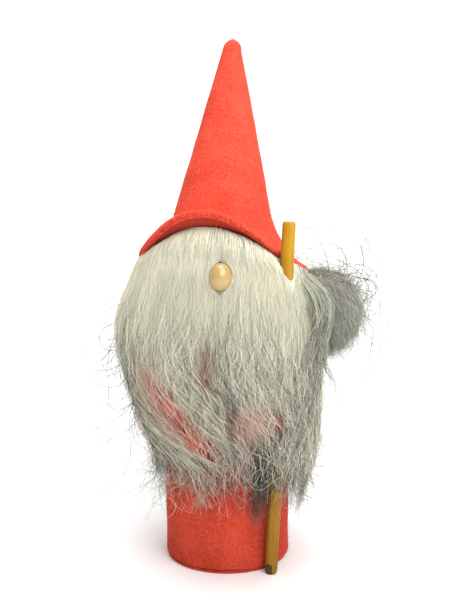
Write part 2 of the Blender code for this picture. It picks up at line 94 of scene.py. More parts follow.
sack_low, sack_high = span_mm("sack_hair")
SACK_CENTRE = (sack_low + sack_high) / 2
SACK_R = float((sack_high - sack_low).max() / 2)
SACK_TIE = np.array([39.5, 17.5, 157.5])

HAT_TIP_Z = span_mm("hat_shell")[1][2]

# Hat, as the CAD states it
CROWN_Z = 188
CROWN_R = 26.2
TIP_R = 5.2
TIP_Z = HAT_TIP_Z - 5.7
HAT_FELT = 2
HAT_X_AT_CROWN = -2.5
HAT_X_AT_TIP = 3
BRIM_BLEND = 12
RIM_Z = 165
RIM_TILT = 5.2
RIM_SAG = 5.5
RIM_SAG_WIDTH = 60
RIM_LIFT = 24
RIM_LIFT_AT = -103
RIM_LIFT_WIDTH = 45
RIM_R = 44.5
RIM_LEFT_EXTRA = 2.5
RIM_FRONT_EXTRA = 3
RIM_FRONT_AT = -115
RIM_FRONT_WIDTH = 35

# Arms, as the CAD states them
ARM_R = 5.2
ARM_WALL = 1.6
ARM_PATH_R = BODY_R + 0.3 + ARM_R + 0.3
SHOULDER_Z = 140
GRIP_Z = 85
LEFT_HAND_Z = 71
LEFT_HAND_AZ = -114
HAND_R = 7.6
LEFT_HAND_R = 4.9
HAND_HALF = 9
CUFF_SHARE = 9 / 14


# ------------------------ small maths


def smooth(x):
    x = np.clip(x, 0, 1)
    return x * x * (3 - 2 * x)


def below(z, top, fade):
    """0 above a height and 1 a fade's length below it."""
    return smooth((top - z) / fade)


def unit(v):
    return v / np.maximum(np.linalg.norm(v, axis=-1, keepdims=True), 1e-9)


def polar(r, azimuth, z):
    """Points from radius, azimuth and height; the three broadcast together."""
    r, azimuth, z = np.broadcast_arrays(r, np.radians(azimuth), z)
    return np.stack([r * np.cos(azimuth), r * np.sin(azimuth), z], axis=-1).astype(float)


def azimuth_of(points):
    return np.degrees(np.arctan2(points[..., 1], points[..., 0]))


def bell(azimuth, centre, width):
    away = (np.asarray(azimuth, float) - centre + 180) % 360 - 180
    return np.exp(-((away / width) ** 2))


def ripple(points, wavelength, seed, waves=9):
    """Smooth noise between about -1 and 1: a few sine waves in seeded directions."""
    draw = np.random.default_rng(seed)
    directions = unit(draw.normal(size=(waves, 3))) * draw.uniform(0.6, 1.7, (waves, 1)) * 2 * pi / wavelength
    phases = draw.uniform(0, 2 * pi, waves)
    return np.sin(points @ directions.T + phases).sum(-1) / np.sqrt(waves)


def resampled(line, places):
    """A line of points read off at places counted in its own points."""
    return np.stack([np.interp(places, np.arange(len(line)), c) for c in line.T], axis=-1)


def angles_round(count):
    """Angles in radians, spaced evenly right round from 0."""
    return 2 * pi * np.arange(count) / count


def ring(side, up, radii, sides):
    """Offsets right round circles of the given radii, in the planes of side and up."""
    angles = angles_round(sides)
    offsets = side[..., None, :] * np.cos(angles)[:, None] + up[..., None, :] * np.sin(angles)[:, None]
    return offsets * np.asarray(radii)[..., None, None]


def full_turn(count):
    """Azimuths spaced evenly right round."""
    return np.linspace(-180, 180, count, endpoint=False)


def round_rows(centres, radii, around=32, along=None):
    """Rows of points right round a centre line."""
    along = unit(np.gradient(centres, axis=0)) if along is None else along
    side = unit(np.cross(along, UP) + np.array([1e-6, 0, 0]))
    return centres[:, None] + ring(side, np.cross(side, along), radii, around)


# ------------------------ meshes


def add_mesh(name, points, quads, tris=(), mat=None, tone=None, painted_glow=None):
    """Smooth-shaded mesh from points in millimetres, with per-point `tone` and `painted_glow` for its
    material.
    """
    quads = np.asarray(quads, np.int32).reshape(-1, 4)
    tris = np.asarray(tris, np.int32).reshape(-1, 3)
    mesh = bpy.data.meshes.new(name)
    mesh.vertices.add(len(points))
    mesh.vertices.foreach_set("co", (np.asarray(points, float) * MM).astype(np.float32).ravel())
    loops = np.concatenate([quads.ravel(), tris.ravel()])
    mesh.loops.add(len(loops))
    mesh.loops.foreach_set("vertex_index", loops)
    starts = np.concatenate([np.arange(len(quads)) * 4, quads.size + np.arange(len(tris)) * 3])
    mesh.polygons.add(len(starts))
    mesh.polygons.foreach_set("loop_start", starts.astype(np.int32))
    mesh.polygons.foreach_set("use_smooth", np.ones(len(starts), bool))
    mesh.update(calc_edges=True)
    for mark, values in (("tone", tone), ("painted_glow", painted_glow)):
        if values is not None:
            layer = mesh.attributes.new(mark, "FLOAT", "POINT")
            layer.data.foreach_set("value", np.asarray(values, np.float32).ravel())
    obj = bpy.data.objects.new(name, mesh)
    bpy.context.scene.collection.objects.link(obj)
    mesh.materials.append(mat)
    return obj


def skin(name, rows, mat, poles=(), loop=False, webbed=False, tone=None):
    """Surface through rows of points that each run right round.

    Two poles close its ends, or loop joins the last row to the first. Where each row runs out along one side
    of a wall and back along the other, webbed closes both ends of the wall.
    """
    rows = np.asarray(rows, float)
    count, around = rows.shape[:2]
    points = rows.reshape(-1, 3)
    index = np.arange(count * around).reshape(count, around)
    if loop:
        index = np.vstack([index, index[:1]])
    turned = np.roll(index, -1, axis=1)
    quads = np.stack([index[:-1], turned[:-1], turned[1:], index[1:]], axis=-1).reshape(-1, 4)
    if webbed:
        k = np.arange(around // 2 - 1)
        web = np.stack([k, k + 1, around - 2 - k, around - 1 - k], axis=-1)
        quads = np.vstack([quads, web[:, ::-1], web + (count - 1) * around])
    tris = ()
    if len(poles):
        first, last = np.full(around, len(points)), np.full(around, len(points) + 1)
        starts = np.stack([turned[0], index[0], first], axis=-1)
        tris = np.vstack([starts, np.stack([index[-1], turned[-1], last], axis=-1)])
        points = np.vstack([points, *poles])
    if tone is not None:
        tone = np.concatenate([np.ravel(tone), np.full(len(points) - np.size(tone), np.mean(tone))])
    return add_mesh(name, points, quads, tris, mat, tone)


def tubes(name, paths, radii, mat, sides=3, tone=None, painted_glow=None):
    """One closed thin tube along each path. paths (n, m, 3), radii, tone and painted_glow (n, m)."""
    n, m, _ = paths.shape
    along = unit(np.gradient(paths, axis=1))
    draw = np.random.default_rng(len(paths))
    side = unit(np.cross(along, unit(draw.normal(size=(n, 1, 3)))))
    points = paths[:, :, None, :] + ring(side, np.cross(along, side), radii, sides)
    index = np.arange(n * m * sides).reshape(n, m, sides)
    turned = np.roll(index, -1, axis=2)
    quads = np.stack([index[:, :-1], index[:, 1:], turned[:, 1:], turned[:, :-1]], axis=-1).reshape(-1, 4)
    caps = []
    for k in range(1, sides - 1):
        caps.append(index[:, 0][:, [0, k, k + 1]])
        caps.append(index[:, -1][:, [0, k + 1, k]])
    marks = [None if mark is None else np.repeat(mark[:, :, None], sides, axis=2) for mark in (tone, painted_glow)]
    return add_mesh(name, points.reshape(-1, 3), quads, np.concatenate(caps), mat, *marks)


def settle(piece, slot, body, *nodes):
    """Gives a piece its body and hides the CAD nodes that it stands for. slot is not used."""
    if nodes:
        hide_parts(*nodes)
    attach(piece, body)


# ------------------------ materials


class Look:
    """A node-based Principled material, built from a few short calls."""

    def __init__(self, name, roughness, **inputs):
        self.mat = bpy.data.materials.new(name)
        self.mat.use_nodes = True
        self.nodes = self.mat.node_tree.nodes
        self.links = self.mat.node_tree.links
        self.shader = self.nodes["Principled BSDF"]
        self.place = self.nodes.new("ShaderNodeTexCoord").outputs["Object"]
        self.feed(self.shader, Roughness=roughness, **inputs)

    def join(self, socket, value):
        """Links an outlet to a socket, or sets the socket to a number, a vector or a colour."""
        if isinstance(value, bpy.types.NodeSocket):
            self.links.new(value, socket)
        else:
            socket.default_value = (*value, 1) if socket.type == "RGBA" else value

    def feed(self, node, **inputs):
        """Joins values to a node's inputs by name, with underscores for the spaces in the names."""
        for key, value in inputs.items():
            self.join(node.inputs[key.replace("_", " ")], value)

    def add(self, kind, outlet, **inputs):
        node = self.nodes.new("ShaderNode" + kind)
        self.feed(node, **inputs)
        return node.outputs[outlet]

    def stretched(self, scale, rotation=(0, 0, 0)):
        turn = tuple(radians(a) for a in rotation)
        return self.add("Mapping", "Vector", Vector=self.place, Scale=scale, Rotation=turn)

    def noise(self, scale, detail=4, vector=None, distortion=0):
        vector = vector or self.place
        return self.add("TexNoise", "Fac", Vector=vector, Scale=scale, Detail=detail, Distortion=distortion)

    def wave(self, scale, vector, distortion):
        shape = {"Distortion": distortion, "Detail_Scale": 1.5, "Detail": 3}
        return self.add("TexWave", "Fac", Vector=vector, Scale=scale, **shape)

    def attribute(self, name):
        node = self.nodes.new("ShaderNodeAttribute")
        node.attribute_name = name
        return node.outputs["Fac"]

    def ramp(self, value, *stops):
        """Colour ramp from (position, colour) stops."""
        node = self.nodes.new("ShaderNodeValToRGB")
        elements = node.color_ramp.elements
        while len(elements) < len(stops):
            elements.new(0.5)
        for element, (position, colour) in zip(elements, stops):
            element.position = position
            element.color = (*colour, 1)
        self.links.new(value, node.inputs["Fac"])
        return node.outputs["Color"]

    def maths(self, operation, a, b):
        node = self.nodes.new("ShaderNodeMath")
        node.operation = operation
        self.join(node.inputs[0], a)
        self.join(node.inputs[1], b)
        return node.outputs["Value"]

    def plus(self, a, b):
        return self.maths("ADD", a, b)

    def minus(self, a, b):
        return self.maths("SUBTRACT", a, b)

    def times(self, a, b):
        return self.maths("MULTIPLY", a, b)

    def weighted(self, a, share_a, b, share_b):
        return self.plus(self.times(a, share_a), self.times(b, share_b))

    def held(self, value, most):
        """The value held between 0 and most."""
        return self.maths("MINIMUM", self.maths("MAXIMUM", value, 0), most)

    def height(self, axis="Z"):
        """Height above the ground, or another object coordinate, in metres."""
        return self.add("SeparateXYZ", axis, Vector=self.place)

    def mix(self, share, a, b):
        node = self.nodes.new("ShaderNodeMix")
        node.data_type = "RGBA"
        colours = [socket for socket in node.inputs if socket.type == "RGBA"]
        for socket, value in zip((node.inputs[0], *colours), (share, a, b)):
            self.join(socket, value)
        return next(socket for socket in node.outputs if socket.type == "RGBA")

    def finish(self, colour, roughness=None, relief=None):
        """The material. roughness is (value, lowest, highest), relief is (value, strength, depth in mm)."""
        self.feed(self.shader, Base_Color=colour)
        if roughness:
            value, low, high = roughness
            spread = self.add("MapRange", "Result", Value=value, To_Min=low, To_Max=high)
            self.feed(self.shader, Roughness=spread)
        if relief:
            value, strength, depth = relief
            normal = self.add("Bump", "Normal", Height=value, Strength=strength, Distance=depth * MM)
            self.feed(self.shader, Normal=normal)
        return self.mat


def felt(name, dark, light, low_shade=0, shaded=0):
    """Pressed wool: mottled colour over centimetres, matted fibres under a millimetre, a soft sheen.

    low_shade paints shade near the ground, mottled by noise; shaded paints shade where the mesh's tone says
    so.
    """
    sheen = {"Sheen_Weight": 0.12, "Sheen_Roughness": 0.5, "Sheen_Tint": light}
    look = Look(name, 0.95, Specular_IOR_Level=0.1, **sheen)
    fibres = look.noise(1150, 5, distortion=1.2)
    mottle = look.weighted(look.noise(70), 0.25, fibres, 0.75)
    colour = look.ramp(mottle, (0.38, dark), (0.60, light))
    if low_shade > 0:
        # Painted shade: the felt is darkened towards the ground, broken up by noise.
        low_down = look.minus(0.5, look.times(look.height(), 14))
        painted_low_shade = look.times(look.noise(260, 6), look.maths("MAXIMUM", low_down, 0))
        colour = look.mix(look.times(painted_low_shade, low_shade), colour, tuple(c * 0.45 for c in dark))
    if shaded > 0:
        colour = look.mix(look.times(look.attribute("tone"), shaded), colour, (0, 0, 0))
    pilling = look.plus(fibres, look.times(look.noise(420, 3), 1.4))
    return look.finish(colour, (fibres, 0.86, 1), (pilling, 0.55, 0.5))


def thread(name, dark, light):
    """Twisted overlock thread."""
    look = Look(name, 0.9, Specular_IOR_Level=0.12)
    twist = look.wave(900, look.stretched((1, 1, 0.6), (20, 35, 0)), 2)
    colour = look.ramp(look.noise(500), (0.35, dark), (0.65, light))
    return look.finish(colour, (twist, 0.55, 0.85), (twist, 0.5, 0.2))


def hair(name, *stops, roughness=0.55):
    """Animal hair: each strand's own tone, streaked along it, with a painted red glow where felt lies close
    behind it.
    """
    look = Look(name, roughness, Specular_IOR_Level=0.2, Sheen_Weight=0.2, Diffuse_Roughness=1)
    streak = look.noise(230, 4, look.stretched((1, 1, 0.16)))
    shade = look.plus(look.attribute("tone"), look.times(look.minus(streak, 0.5), 0.35))
    # Painted light: strands are mixed towards FELT_GLOW where the felt behind them is meant to glow through.
    glow = look.times(look.attribute("painted_glow"), 0.8)
    colour = look.mix(glow, look.ramp(shade, *stops), FELT_GLOW)
    return look.finish(colour, (streak, roughness - 0.12, roughness + 0.15))


def undercoat(name, dark, light, crown):
    """Matted short hair close to the hide: fine streaks that run downwards, paler towards the brim, partly
    its own colour and partly painted light.
    """
    look = Look(name, 0.85, Specular_IOR_Level=0.2, Sheen_Weight=0.2)
    streaks = look.noise(900, 6, look.stretched((1, 1, 0.07)), 0.6)
    tufts = look.noise(120, 3, look.stretched((1, 1, 0.3)))
    matting = look.weighted(streaks, 0.7, tufts, 0.3)
    # Paler towards the brim: partly the hair's own colour, partly painted light.
    high = look.held(look.times(look.minus(look.height(), 0.118), 22), 0.85)
    colour = look.mix(high, look.ramp(matting, (0.36, dark), (0.64, light)), crown)
    return look.finish(colour, (streaks, 0.7, 0.95), (matting, 0.9, 1.2))


def bare_wood(name, dark, light, rings=160, tilt=0, coat=0, roughness=0.6, grain=(1, 1, 0.12)):
    """Straight-grained wood, with a clear coat where it is varnished."""
    look = Look(name, roughness, Coat_Weight=coat, Coat_Roughness=0.08)
    vector = look.stretched(grain, (0, tilt, 0))
    pores = look.noise(1400, 5, vector)
    figure = look.weighted(look.wave(rings, vector, 3), 0.6, pores, 0.4)
    colour = look.ramp(figure, (0.2, dark), (0.75, light))
    spread = (pores, roughness - 0.1, roughness + 0.12)
    return look.finish(colour, spread, (pores, 0.12 if coat else 0.35, 0.15))


def matt(name, dark, light, scale, depth_mm=0.3, roughness=0.9):
    """Card, wadding, cloth and hide that sit inside: mottled, with a fine relief."""
    look = Look(name, roughness, Specular_IOR_Level=0.2)
    grain = look.noise(scale, 6, distortion=0.8)
    colour = look.ramp(look.noise(scale * 0.3, 5), (0.35, dark), (0.65, light))
    spread = (grain, roughness - 0.12, min(roughness + 0.08, 1))
    return look.finish(colour, spread, (grain, 0.6, depth_mm))


def staff_look():
    """Yellow-stained stick: long grain, darker towards the bottom, a dark worn patch at the foot."""
    look = Look("stained_stick", 0.6, Coat_Weight=0.08, Coat_Roughness=0.4, Specular_IOR_Level=0.2)
    grain = look.noise(900, 6, look.stretched((1, 1, 0.05)), 0.4)
    stain = look.noise(60, 4, look.stretched((1, 1, 0.4)))
    figure = look.weighted(grain, 0.5, stain, 0.5)
    stops = ((0.33, (0.24, 0.10, 0.003)), (0.5, (0.46, 0.225, 0.008)), (0.68, (0.60, 0.33, 0.018)))
    # Darker towards the bottom.
    darker_low_down = look.held(look.times(look.minus(0.175, look.height()), 3.6), 0.62)
    colour = look.mix(darker_low_down, look.ramp(figure, *stops), (0.13, 0.055, 0.002))
    foot = look.minus(1, look.times(look.height(), 95))
    patch = look.maths("GREATER_THAN", look.plus(foot, look.noise(240, 3)), 0.98)
    side = look.maths("LESS_THAN", look.height("X"), (STAFF_BOTTOM[0] + 0.4) * MM)
    worn = look.times(look.times(patch, side), 0.85)
    return look.finish(look.mix(worn, colour, (0.035, 0.018, 0.008)), (grain, 0.38, 0.65), (grain, 0.3, 0.2))


# Painted shade: the body's felt is the hat's red felt made darker, as it lies under the beard.
SHADED_BODY_RED = ((0.40, 0.030, 0.015), (0.66, 0.082, 0.045))
FELT_GLOW = (0.95, 0.20, 0.12)

hat_felt = felt("hat_felt_red", (0.68, 0.046, 0.024), (0.92, 0.116, 0.067), shaded=0.45)
body_felt = felt("body_felt_red", *SHADED_BODY_RED, low_shade=0.8)
# Painted light: the arms' felt is a brighter copy of the red felt, as if lit through the hair over it.
arm_felt_painted_bright = felt("arm_felt_red", (0.95, 0.15, 0.09), (1, 0.24, 0.16))
hand_felt = felt("hand_felt_red", (0.50, 0.055, 0.03), (0.72, 0.11, 0.065))
rim_thread = thread("rim_thread_red", (0.80, 0.075, 0.042), (0.95, 0.12, 0.07))
white_hair = hair(
    "long_pale_hair",
    (0, (0.030, 0.024, 0.019)),
    (0.30, (0.17, 0.158, 0.125)),
    (0.62, (0.545, 0.565, 0.458)),
    (1, (0.97, 0.945, 0.795)),
)
fur_hair = hair(
    "grey_fur", (0, (0.035, 0.032, 0.030)), (0.45, (0.31, 0.31, 0.265)), (1, (0.80, 0.80, 0.70))
)
pale_undercoat = undercoat("pale_undercoat", (0.14, 0.11, 0.085), (0.50, 0.46, 0.37), (0.88, 0.83, 0.69))
fur_undercoat = undercoat("fur_undercoat", (0.14, 0.135, 0.12), (0.42, 0.41, 0.36), (0.42, 0.41, 0.36))
red_fibre = hair("red_wool_fibre", (0, (0.62, 0.06, 0.035)), (1, (1, 0.17, 0.10)), roughness=0.8)


# ------------------------ hat

TIP_ROWS = 8
CROWN_ROWS = 90
BRIM_ROWS = 44
STITCHES = 296
STITCH_BAND = 2.3
STITCH_STANDOFF = 0.18
SEAM_STITCHES = 62


def hat_axis_x(z):
    share = (np.asarray(z, float) - CROWN_Z) / (HAT_TIP_Z - CROWN_Z)
    return HAT_X_AT_CROWN + (HAT_X_AT_TIP - HAT_X_AT_CROWN) * np.maximum(share, 0)


def rim_radius(azimuth):
    front = RIM_FRONT_EXTRA * bell(azimuth, RIM_FRONT_AT, RIM_FRONT_WIDTH)
    return RIM_R - RIM_LEFT_EXTRA * np.cos(np.radians(azimuth)) + front


def rim_height(azimuth):
    lift = RIM_LIFT * bell(azimuth, RIM_LIFT_AT, RIM_LIFT_WIDTH)
    sag = RIM_SAG * bell(azimuth, 180, RIM_SAG_WIDTH)
    return RIM_Z - RIM_TILT * np.cos(np.radians(azimuth)) + (lift - sag)


def brim_curve(azimuth, t):
    """(r, z) from the crown's foot, t = 0, out to the brim's edge, t = 1."""
    lift = bell(azimuth, RIM_LIFT_AT, RIM_LIFT_WIDTH)
    edge_r, edge_z = rim_radius(azimuth), rim_height(azimuth)
    s = 1 - t
    r = CROWN_R * s**3 + (CROWN_R + 2) * 3 * s * s * t + (edge_r - 8) * 3 * s * t * t + edge_r * t**3
    z = CROWN_Z * s**3 + (CROWN_Z - 9) * 3 * s * s * t
    z = z + (edge_z + 5 - 13 * lift) * 3 * s * t * t + edge_z * t**3
    return r, z


def hat_profile(azimuth, tip_rows=TIP_ROWS, crown_rows=CROWN_ROWS, brim_rows=BRIM_ROWS):
    """(r, z) rows down the hat at each azimuth: rounded tip, straight crown, flared brim."""
    azimuth = np.asarray(azimuth, float)
    bend = np.radians(np.linspace(84, 14, tip_rows))[:, None] + 0 * azimuth
    tip_r, tip_z = TIP_R * np.cos(bend), TIP_Z + (HAT_TIP_Z - TIP_Z) * np.sin(bend)
    t = (np.arange(crown_rows) / crown_rows)[:, None] + 0 * azimuth
    crown_r, crown_z = TIP_R + (CROWN_R - TIP_R) * t, TIP_Z + (CROWN_Z - TIP_Z) * t
    brim_r, brim_z = brim_curve(azimuth, np.linspace(0, 1, brim_rows + 1)[:, None])
    return np.vstack([tip_r, crown_r, brim_r]), np.vstack([tip_z, crown_z, brim_z])


def sideways(r, z, distance):
    """The profile moved towards the hat's inside by a distance."""
    along = unit(np.stack([np.gradient(r, axis=0), np.gradient(z, axis=0)], axis=-1))
    return r + along[..., 1] * distance, z - along[..., 0] * distance


def hat_points(r, azimuth, z):
    points = polar(np.maximum(r, 0.05), azimuth, z)
    share = np.clip(1 - (np.asarray(r) - CROWN_R) / BRIM_BLEND, 0, 1)
    points[..., 0] += hat_axis_x(z) * share
    return points


def hat_offset(r, azimuth, z, distance):
    """Points a distance inside the hat's outer surface, with hand-pulled felt's unevenness on both skins."""
    true_shape = hat_points(r, azimuth, z)
    wobble = 0.16 * ripple(true_shape, 52, 3) + 0.06 * ripple(true_shape, 17, 4)
    moved_r, moved_z = sideways(r, z, distance - wobble)
    return hat_points(moved_r, azimuth, moved_z)


def build_hat():
    """Felt cone and brim as one thick skin: down the outside, over the edge, and up the inside."""
    azimuth = full_turn(220)
    r, z = hat_profile(azimuth)
    outside = hat_offset(r, azimuth, z, 0)
    edge = hat_offset(r, azimuth, z, HAT_FELT / 2)[-1:]
    edge_out = edge + unit(outside[-1:] - outside[-2:-1]) * 0.5
    inside = hat_offset(r, azimuth, z, HAT_FELT)[: TIP_ROWS : -1]
    rows = np.concatenate([outside, edge_out, inside])
    top = np.array([float(hat_axis_x(HAT_TIP_Z)), 0, HAT_TIP_Z])
    low = np.array([inside[-1, :, 0].mean(), 0, inside[-1, :, 2].mean() + 1])
    # Painted shade: the inside rows get tone 1, which the hat's felt darkens as shade under the brim.
    painted_inner_shade = np.zeros(rows.shape[:2])
    painted_inner_shade[len(outside) + 1 :] = 1
    shell = skin("hat_shell_felt", rows, hat_felt, (top, low), tone=painted_inner_shade)
    settle(shell, "hat_felt", "hat", "hat_shell")


def build_rim_stitches():
    """Overlock thread: one loop over the edge every millimetre, and a chain along each side."""
    draw = np.random.default_rng(SEED)
    azimuth = full_turn(STITCHES) + draw.normal(0, 0.08, STITCHES)
    r, z = brim_curve(azimuth, np.linspace(0.9, 1, 7)[:, None])
    reach = STITCH_BAND / np.hypot(r[-1] - r[0], z[-1] - z[0])
    r, z = brim_curve(azimuth, 1 - 0.1 * reach * np.linspace(1, 0, 7)[:, None])
    above = hat_offset(r, azimuth, z, -STITCH_STANDOFF)
    under = hat_offset(r, azimuth, z, HAT_FELT + STITCH_STANDOFF)[::-1]
    beyond = (above[-1:] + under[:1]) / 2 + unit(above[-1:] - above[-2:-1]) * 0.75
    corners = (above[-1:] * 0.5 + beyond * 0.5, under[:1] * 0.5 + beyond * 0.5)
    paths = np.concatenate([above[::2], corners[0], beyond, corners[1], under[::2]]).transpose(1, 0, 2)
    slant = np.linspace(-0.25, 0.25, paths.shape[1])[None, :, None]
    paths = paths + slant * unit(np.roll(paths, -1, axis=0) - paths)
    radii = np.full(paths.shape[:2], 0.43) * draw.uniform(0.85, 1.12, (STITCHES, 1))
    loops = tubes("brim_stitch_loops", paths, radii, rim_thread, sides=6)
    settle(loops, "thread", "hat", "brim_stitching")
    for name, row in (("brim_chain_top", paths[:, 0]), ("brim_chain_under", paths[:, -1])):
        places = np.linspace(0, STITCHES, STITCHES * 3)
        line = resampled(np.vstack([row, row[:1]]), places)[:-1]
        along = unit(np.roll(line, -1, axis=0) - np.roll(line, 1, axis=0))
        chain = round_rows(line, np.full(len(line), 0.34), 6, along)
        settle(skin(name, chain, rim_thread, loop=True), "thread", "hat")


def build_back_seam():
    """Raised hand-sewn seam down the back of the cone, with its stitches across it."""
    at_back = np.array([90])
    r, z = hat_profile(at_back)
    rows = slice(TIP_ROWS + 2, TIP_ROWS + CROWN_ROWS + 34)
    line = hat_offset(r[rows], at_back, z[rows], -0.55)[:, 0]
    line = resampled(line, np.linspace(0, len(line) - 1, 140))
    radius = (1.5 + 0.12 * np.sin(np.arange(140) * 1.4)) * 0.62
    ridge = tubes("hat_seam_ridge", line[None], radius[None], hat_felt, sides=10)
    settle(ridge, "hat_felt", "hat", "hat_back_seam")
    centre = line[np.linspace(2, 137, SEAM_STITCHES).astype(int)]
    share = np.linspace(-1, 1, 7)
    paths = centre[:, None] + np.array([1, 0, 0]) * share[None, :, None] * 1.7
    paths = paths + np.array([0, 1, 0.2]) * (1.15 * (1 - share**2) - 0.25)[None, :, None]
    paths = paths + UP * (share * 0.5)[None, :, None]
    stitches = tubes("hat_seam_stitches", paths, np.full(paths.shape[:2], 0.32), rim_thread, sides=5)
    settle(stitches, "thread", "hat")


def fuzz(name, surface, normals, length, count, body, slot, seed):
    """Short loose wool fibres that stand off a felt surface."""
    draw = np.random.default_rng(seed)
    roots, normals = surface.reshape(-1, 3), normals.reshape(-1, 3)
    picks = draw.integers(0, len(roots), count)
    start = roots[picks] + draw.normal(0, 0.35, (count, 3))
    lean = unit(normals[picks] + draw.normal(0, 0.75, (count, 3)))
    curl = draw.normal(0, 0.5, (count, 3))
    t = np.linspace(0, 1, 5)[None, :, None]
    size = draw.uniform(0.35, 1, (count, 1, 1)) ** 1.5 * length
    paths = start[:, None] + (lean[:, None] * t + curl[:, None] * t**2 * 0.8) * size
    radii = np.full((count, 5), 0.055) * np.linspace(1, 0.5, 5)
    tone = np.repeat(draw.uniform(0, 1, (count, 1)), 5, axis=1)
    settle(tubes(name, paths, radii, red_fibre, tone=tone), slot, body)


def build_hat_fuzz():
    """Fibres over the hat, three times as dense towards the brim."""
    azimuth = full_turn(180)
    r, z = hat_profile(azimuth, 6, 60, 26)
    points = hat_offset(r, azimuth, z, 0)
    normals = unit(points - hat_offset(r, azimuth, z, 1))
    rows = np.repeat(np.arange(len(points)), np.where(np.arange(len(points)) > 62, 3, 1))
    fuzz("hat_wool_fibres", points[rows], normals[rows], 1.6, 5200, "hat", "hat_felt", 31)


# ------------------------ column


def build_body():
    """Felt sleeve with the slight unevenness of felt glued round a tube, and its eased lower edge."""
    azimuth = full_turn(200)
    ease = np.radians(np.linspace(-80, 0, 7))
    corner = 1.2
    straight = np.linspace(6, SLEEVE_TOP - 1, 90)
    heights = np.concatenate([SLEEVE_BOTTOM + corner + corner * np.sin(ease), straight])
    radii = np.concatenate([BODY_R - corner + corner * np.cos(ease), np.full(len(straight), BODY_R)])
    flare = 0.7 * np.exp(-heights / 9)[:, None] * bell(azimuth, -20, 45)
    outer = polar(radii[:, None], azimuth, heights[:, None])
    wobble = 0.28 * ripple(outer, 55, 11) + 0.12 * ripple(outer, 17, 12)
    outer = polar(radii[:, None] + np.minimum(wobble, 0.5) + flare, azimuth, heights[:, None])
    inner = polar(BODY_R - FELT, azimuth, np.array([SLEEVE_TOP, SLEEVE_BOTTOM])[:, None])
    rim = polar(BODY_R - 0.7, azimuth, np.array([[SLEEVE_TOP]]))
    rows = np.concatenate([outer, rim, inner])[::-1]
    sleeve = skin("body_felt_sleeve", rows, body_felt, loop=True)
    settle(sleeve, "red_felt", "gnome", "body_sleeve")
    below_hair = outer[:62]
    fuzz("body_wool_fibres", below_hair, unit(below_hair * LEVEL), 1.3, 3000, "gnome", "red_felt", 32)


def arm_path(start_az, hand, count=28):
    """Centre line of an arm, from the shoulder round the column to the middle of the hand."""
    end_az = np.degrees(np.arctan2(hand[1], hand[0]))
    if start_az > 0:
        end_az += 360
    t = np.linspace(0, 1, count)
    azimuth = start_az + (end_az - start_az) * smooth(t)
    z = SHOULDER_Z + (hand[2] - SHOULDER_Z) * (1 - (1 - t) ** 1.5)
    return polar(ARM_PATH_R + (np.hypot(hand[0], hand[1]) - ARM_PATH_R) * t**5, azimuth, z)


def build_arm(side, path, hand_r, centre):
    """Creased felt sleeve with a turned cuff, and the mitten whose wrist sits in it."""
    cuff_at = int(round(CUFF_SHARE * (len(path) - 1)))
    line = resampled(path[: cuff_at + 1], np.linspace(0, cuff_at, 60))
    along = np.linspace(0, 1, 60)
    crease = 0.22 * np.sin(along * 46) * np.exp(-(((along - 0.55) / 0.3) ** 2))
    cuff = 0.25 * (along > 0.93) * np.sin((along - 0.93) / 0.07 * pi)
    outer = round_rows(line, ARM_R - 0.25 + crease + cuff)
    inner = round_rows(line, np.full(60, ARM_R - ARM_WALL))[::-1]
    sleeve = skin(f"arm_{side}_sleeve", np.concatenate([outer, inner])[::-1], arm_felt_painted_bright, loop=True)
    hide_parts(f"arm_sleeve_{side}")
    wrist = path[cuff_at]
    angle = np.linspace(0.12, pi - 0.02, 26)
    palm = centre - unit(centre - wrist) * (HAND_HALF * np.cos(angle))[:, None]
    wrist_r = ARM_R - ARM_WALL - 0.35
    centres = np.vstack([path[cuff_at - 3], wrist, palm])
    radii = np.concatenate([[wrist_r, wrist_r], np.maximum(hand_r * np.sin(angle) ** 0.8, 0.4)])
    rows = round_rows(centres, radii)
    rows += (0.15 * ripple(rows, 9, 17))[..., None] * unit(rows - centres[:, None])
    hand = skin(f"hand_{side}", rows[::-1], hand_felt, (rows[-1].mean(0), rows[0].mean(0)))
    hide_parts(f"mitten_{side}")
    for piece in (sleeve, hand):
        settle(piece, "red_felt", "gnome")


def staff_at(z):
    share = (np.asarray(z, float) - STAFF_BOTTOM[2]) / (STAFF_TOP[2] - STAFF_BOTTOM[2])
    return STAFF_BOTTOM + (STAFF_TOP - STAFF_BOTTOM) * share[..., None]


def build_staff():
    """Hand-cut stick: nearly round, flats left by the knife, crisp sawn top and a worn foot."""
    rows, around = 110, 48
    along = np.linspace(0, 1, rows)
    centres = STAFF_BOTTOM + (STAFF_TOP - STAFF_BOTTOM) * along[:, None]
    radius = np.full(rows, STAFF_R - 0.06)
    for row, worn_off in ((0, 0.55), (1, 0.12), (-1, 0.3)):
        radius[row] -= worn_off
    grid = round_rows(centres, radius, around)
    angle = angles_round(around)
    flats = 0.07 * np.cos(7 * angle)[None, :] * np.sin(along * 9 + 0.6)[:, None]
    relief = np.minimum(flats + 0.05 * ripple(grid, 24, 21), 0.06)
    grid = grid + relief[..., None] * unit(grid - centres[:, None])
    stick = skin("staff_stick", grid[::-1], staff_look(), (grid[-1].mean(0), grid[0].mean(0)))
    settle(stick, "stained_wood", "staff", "staff")


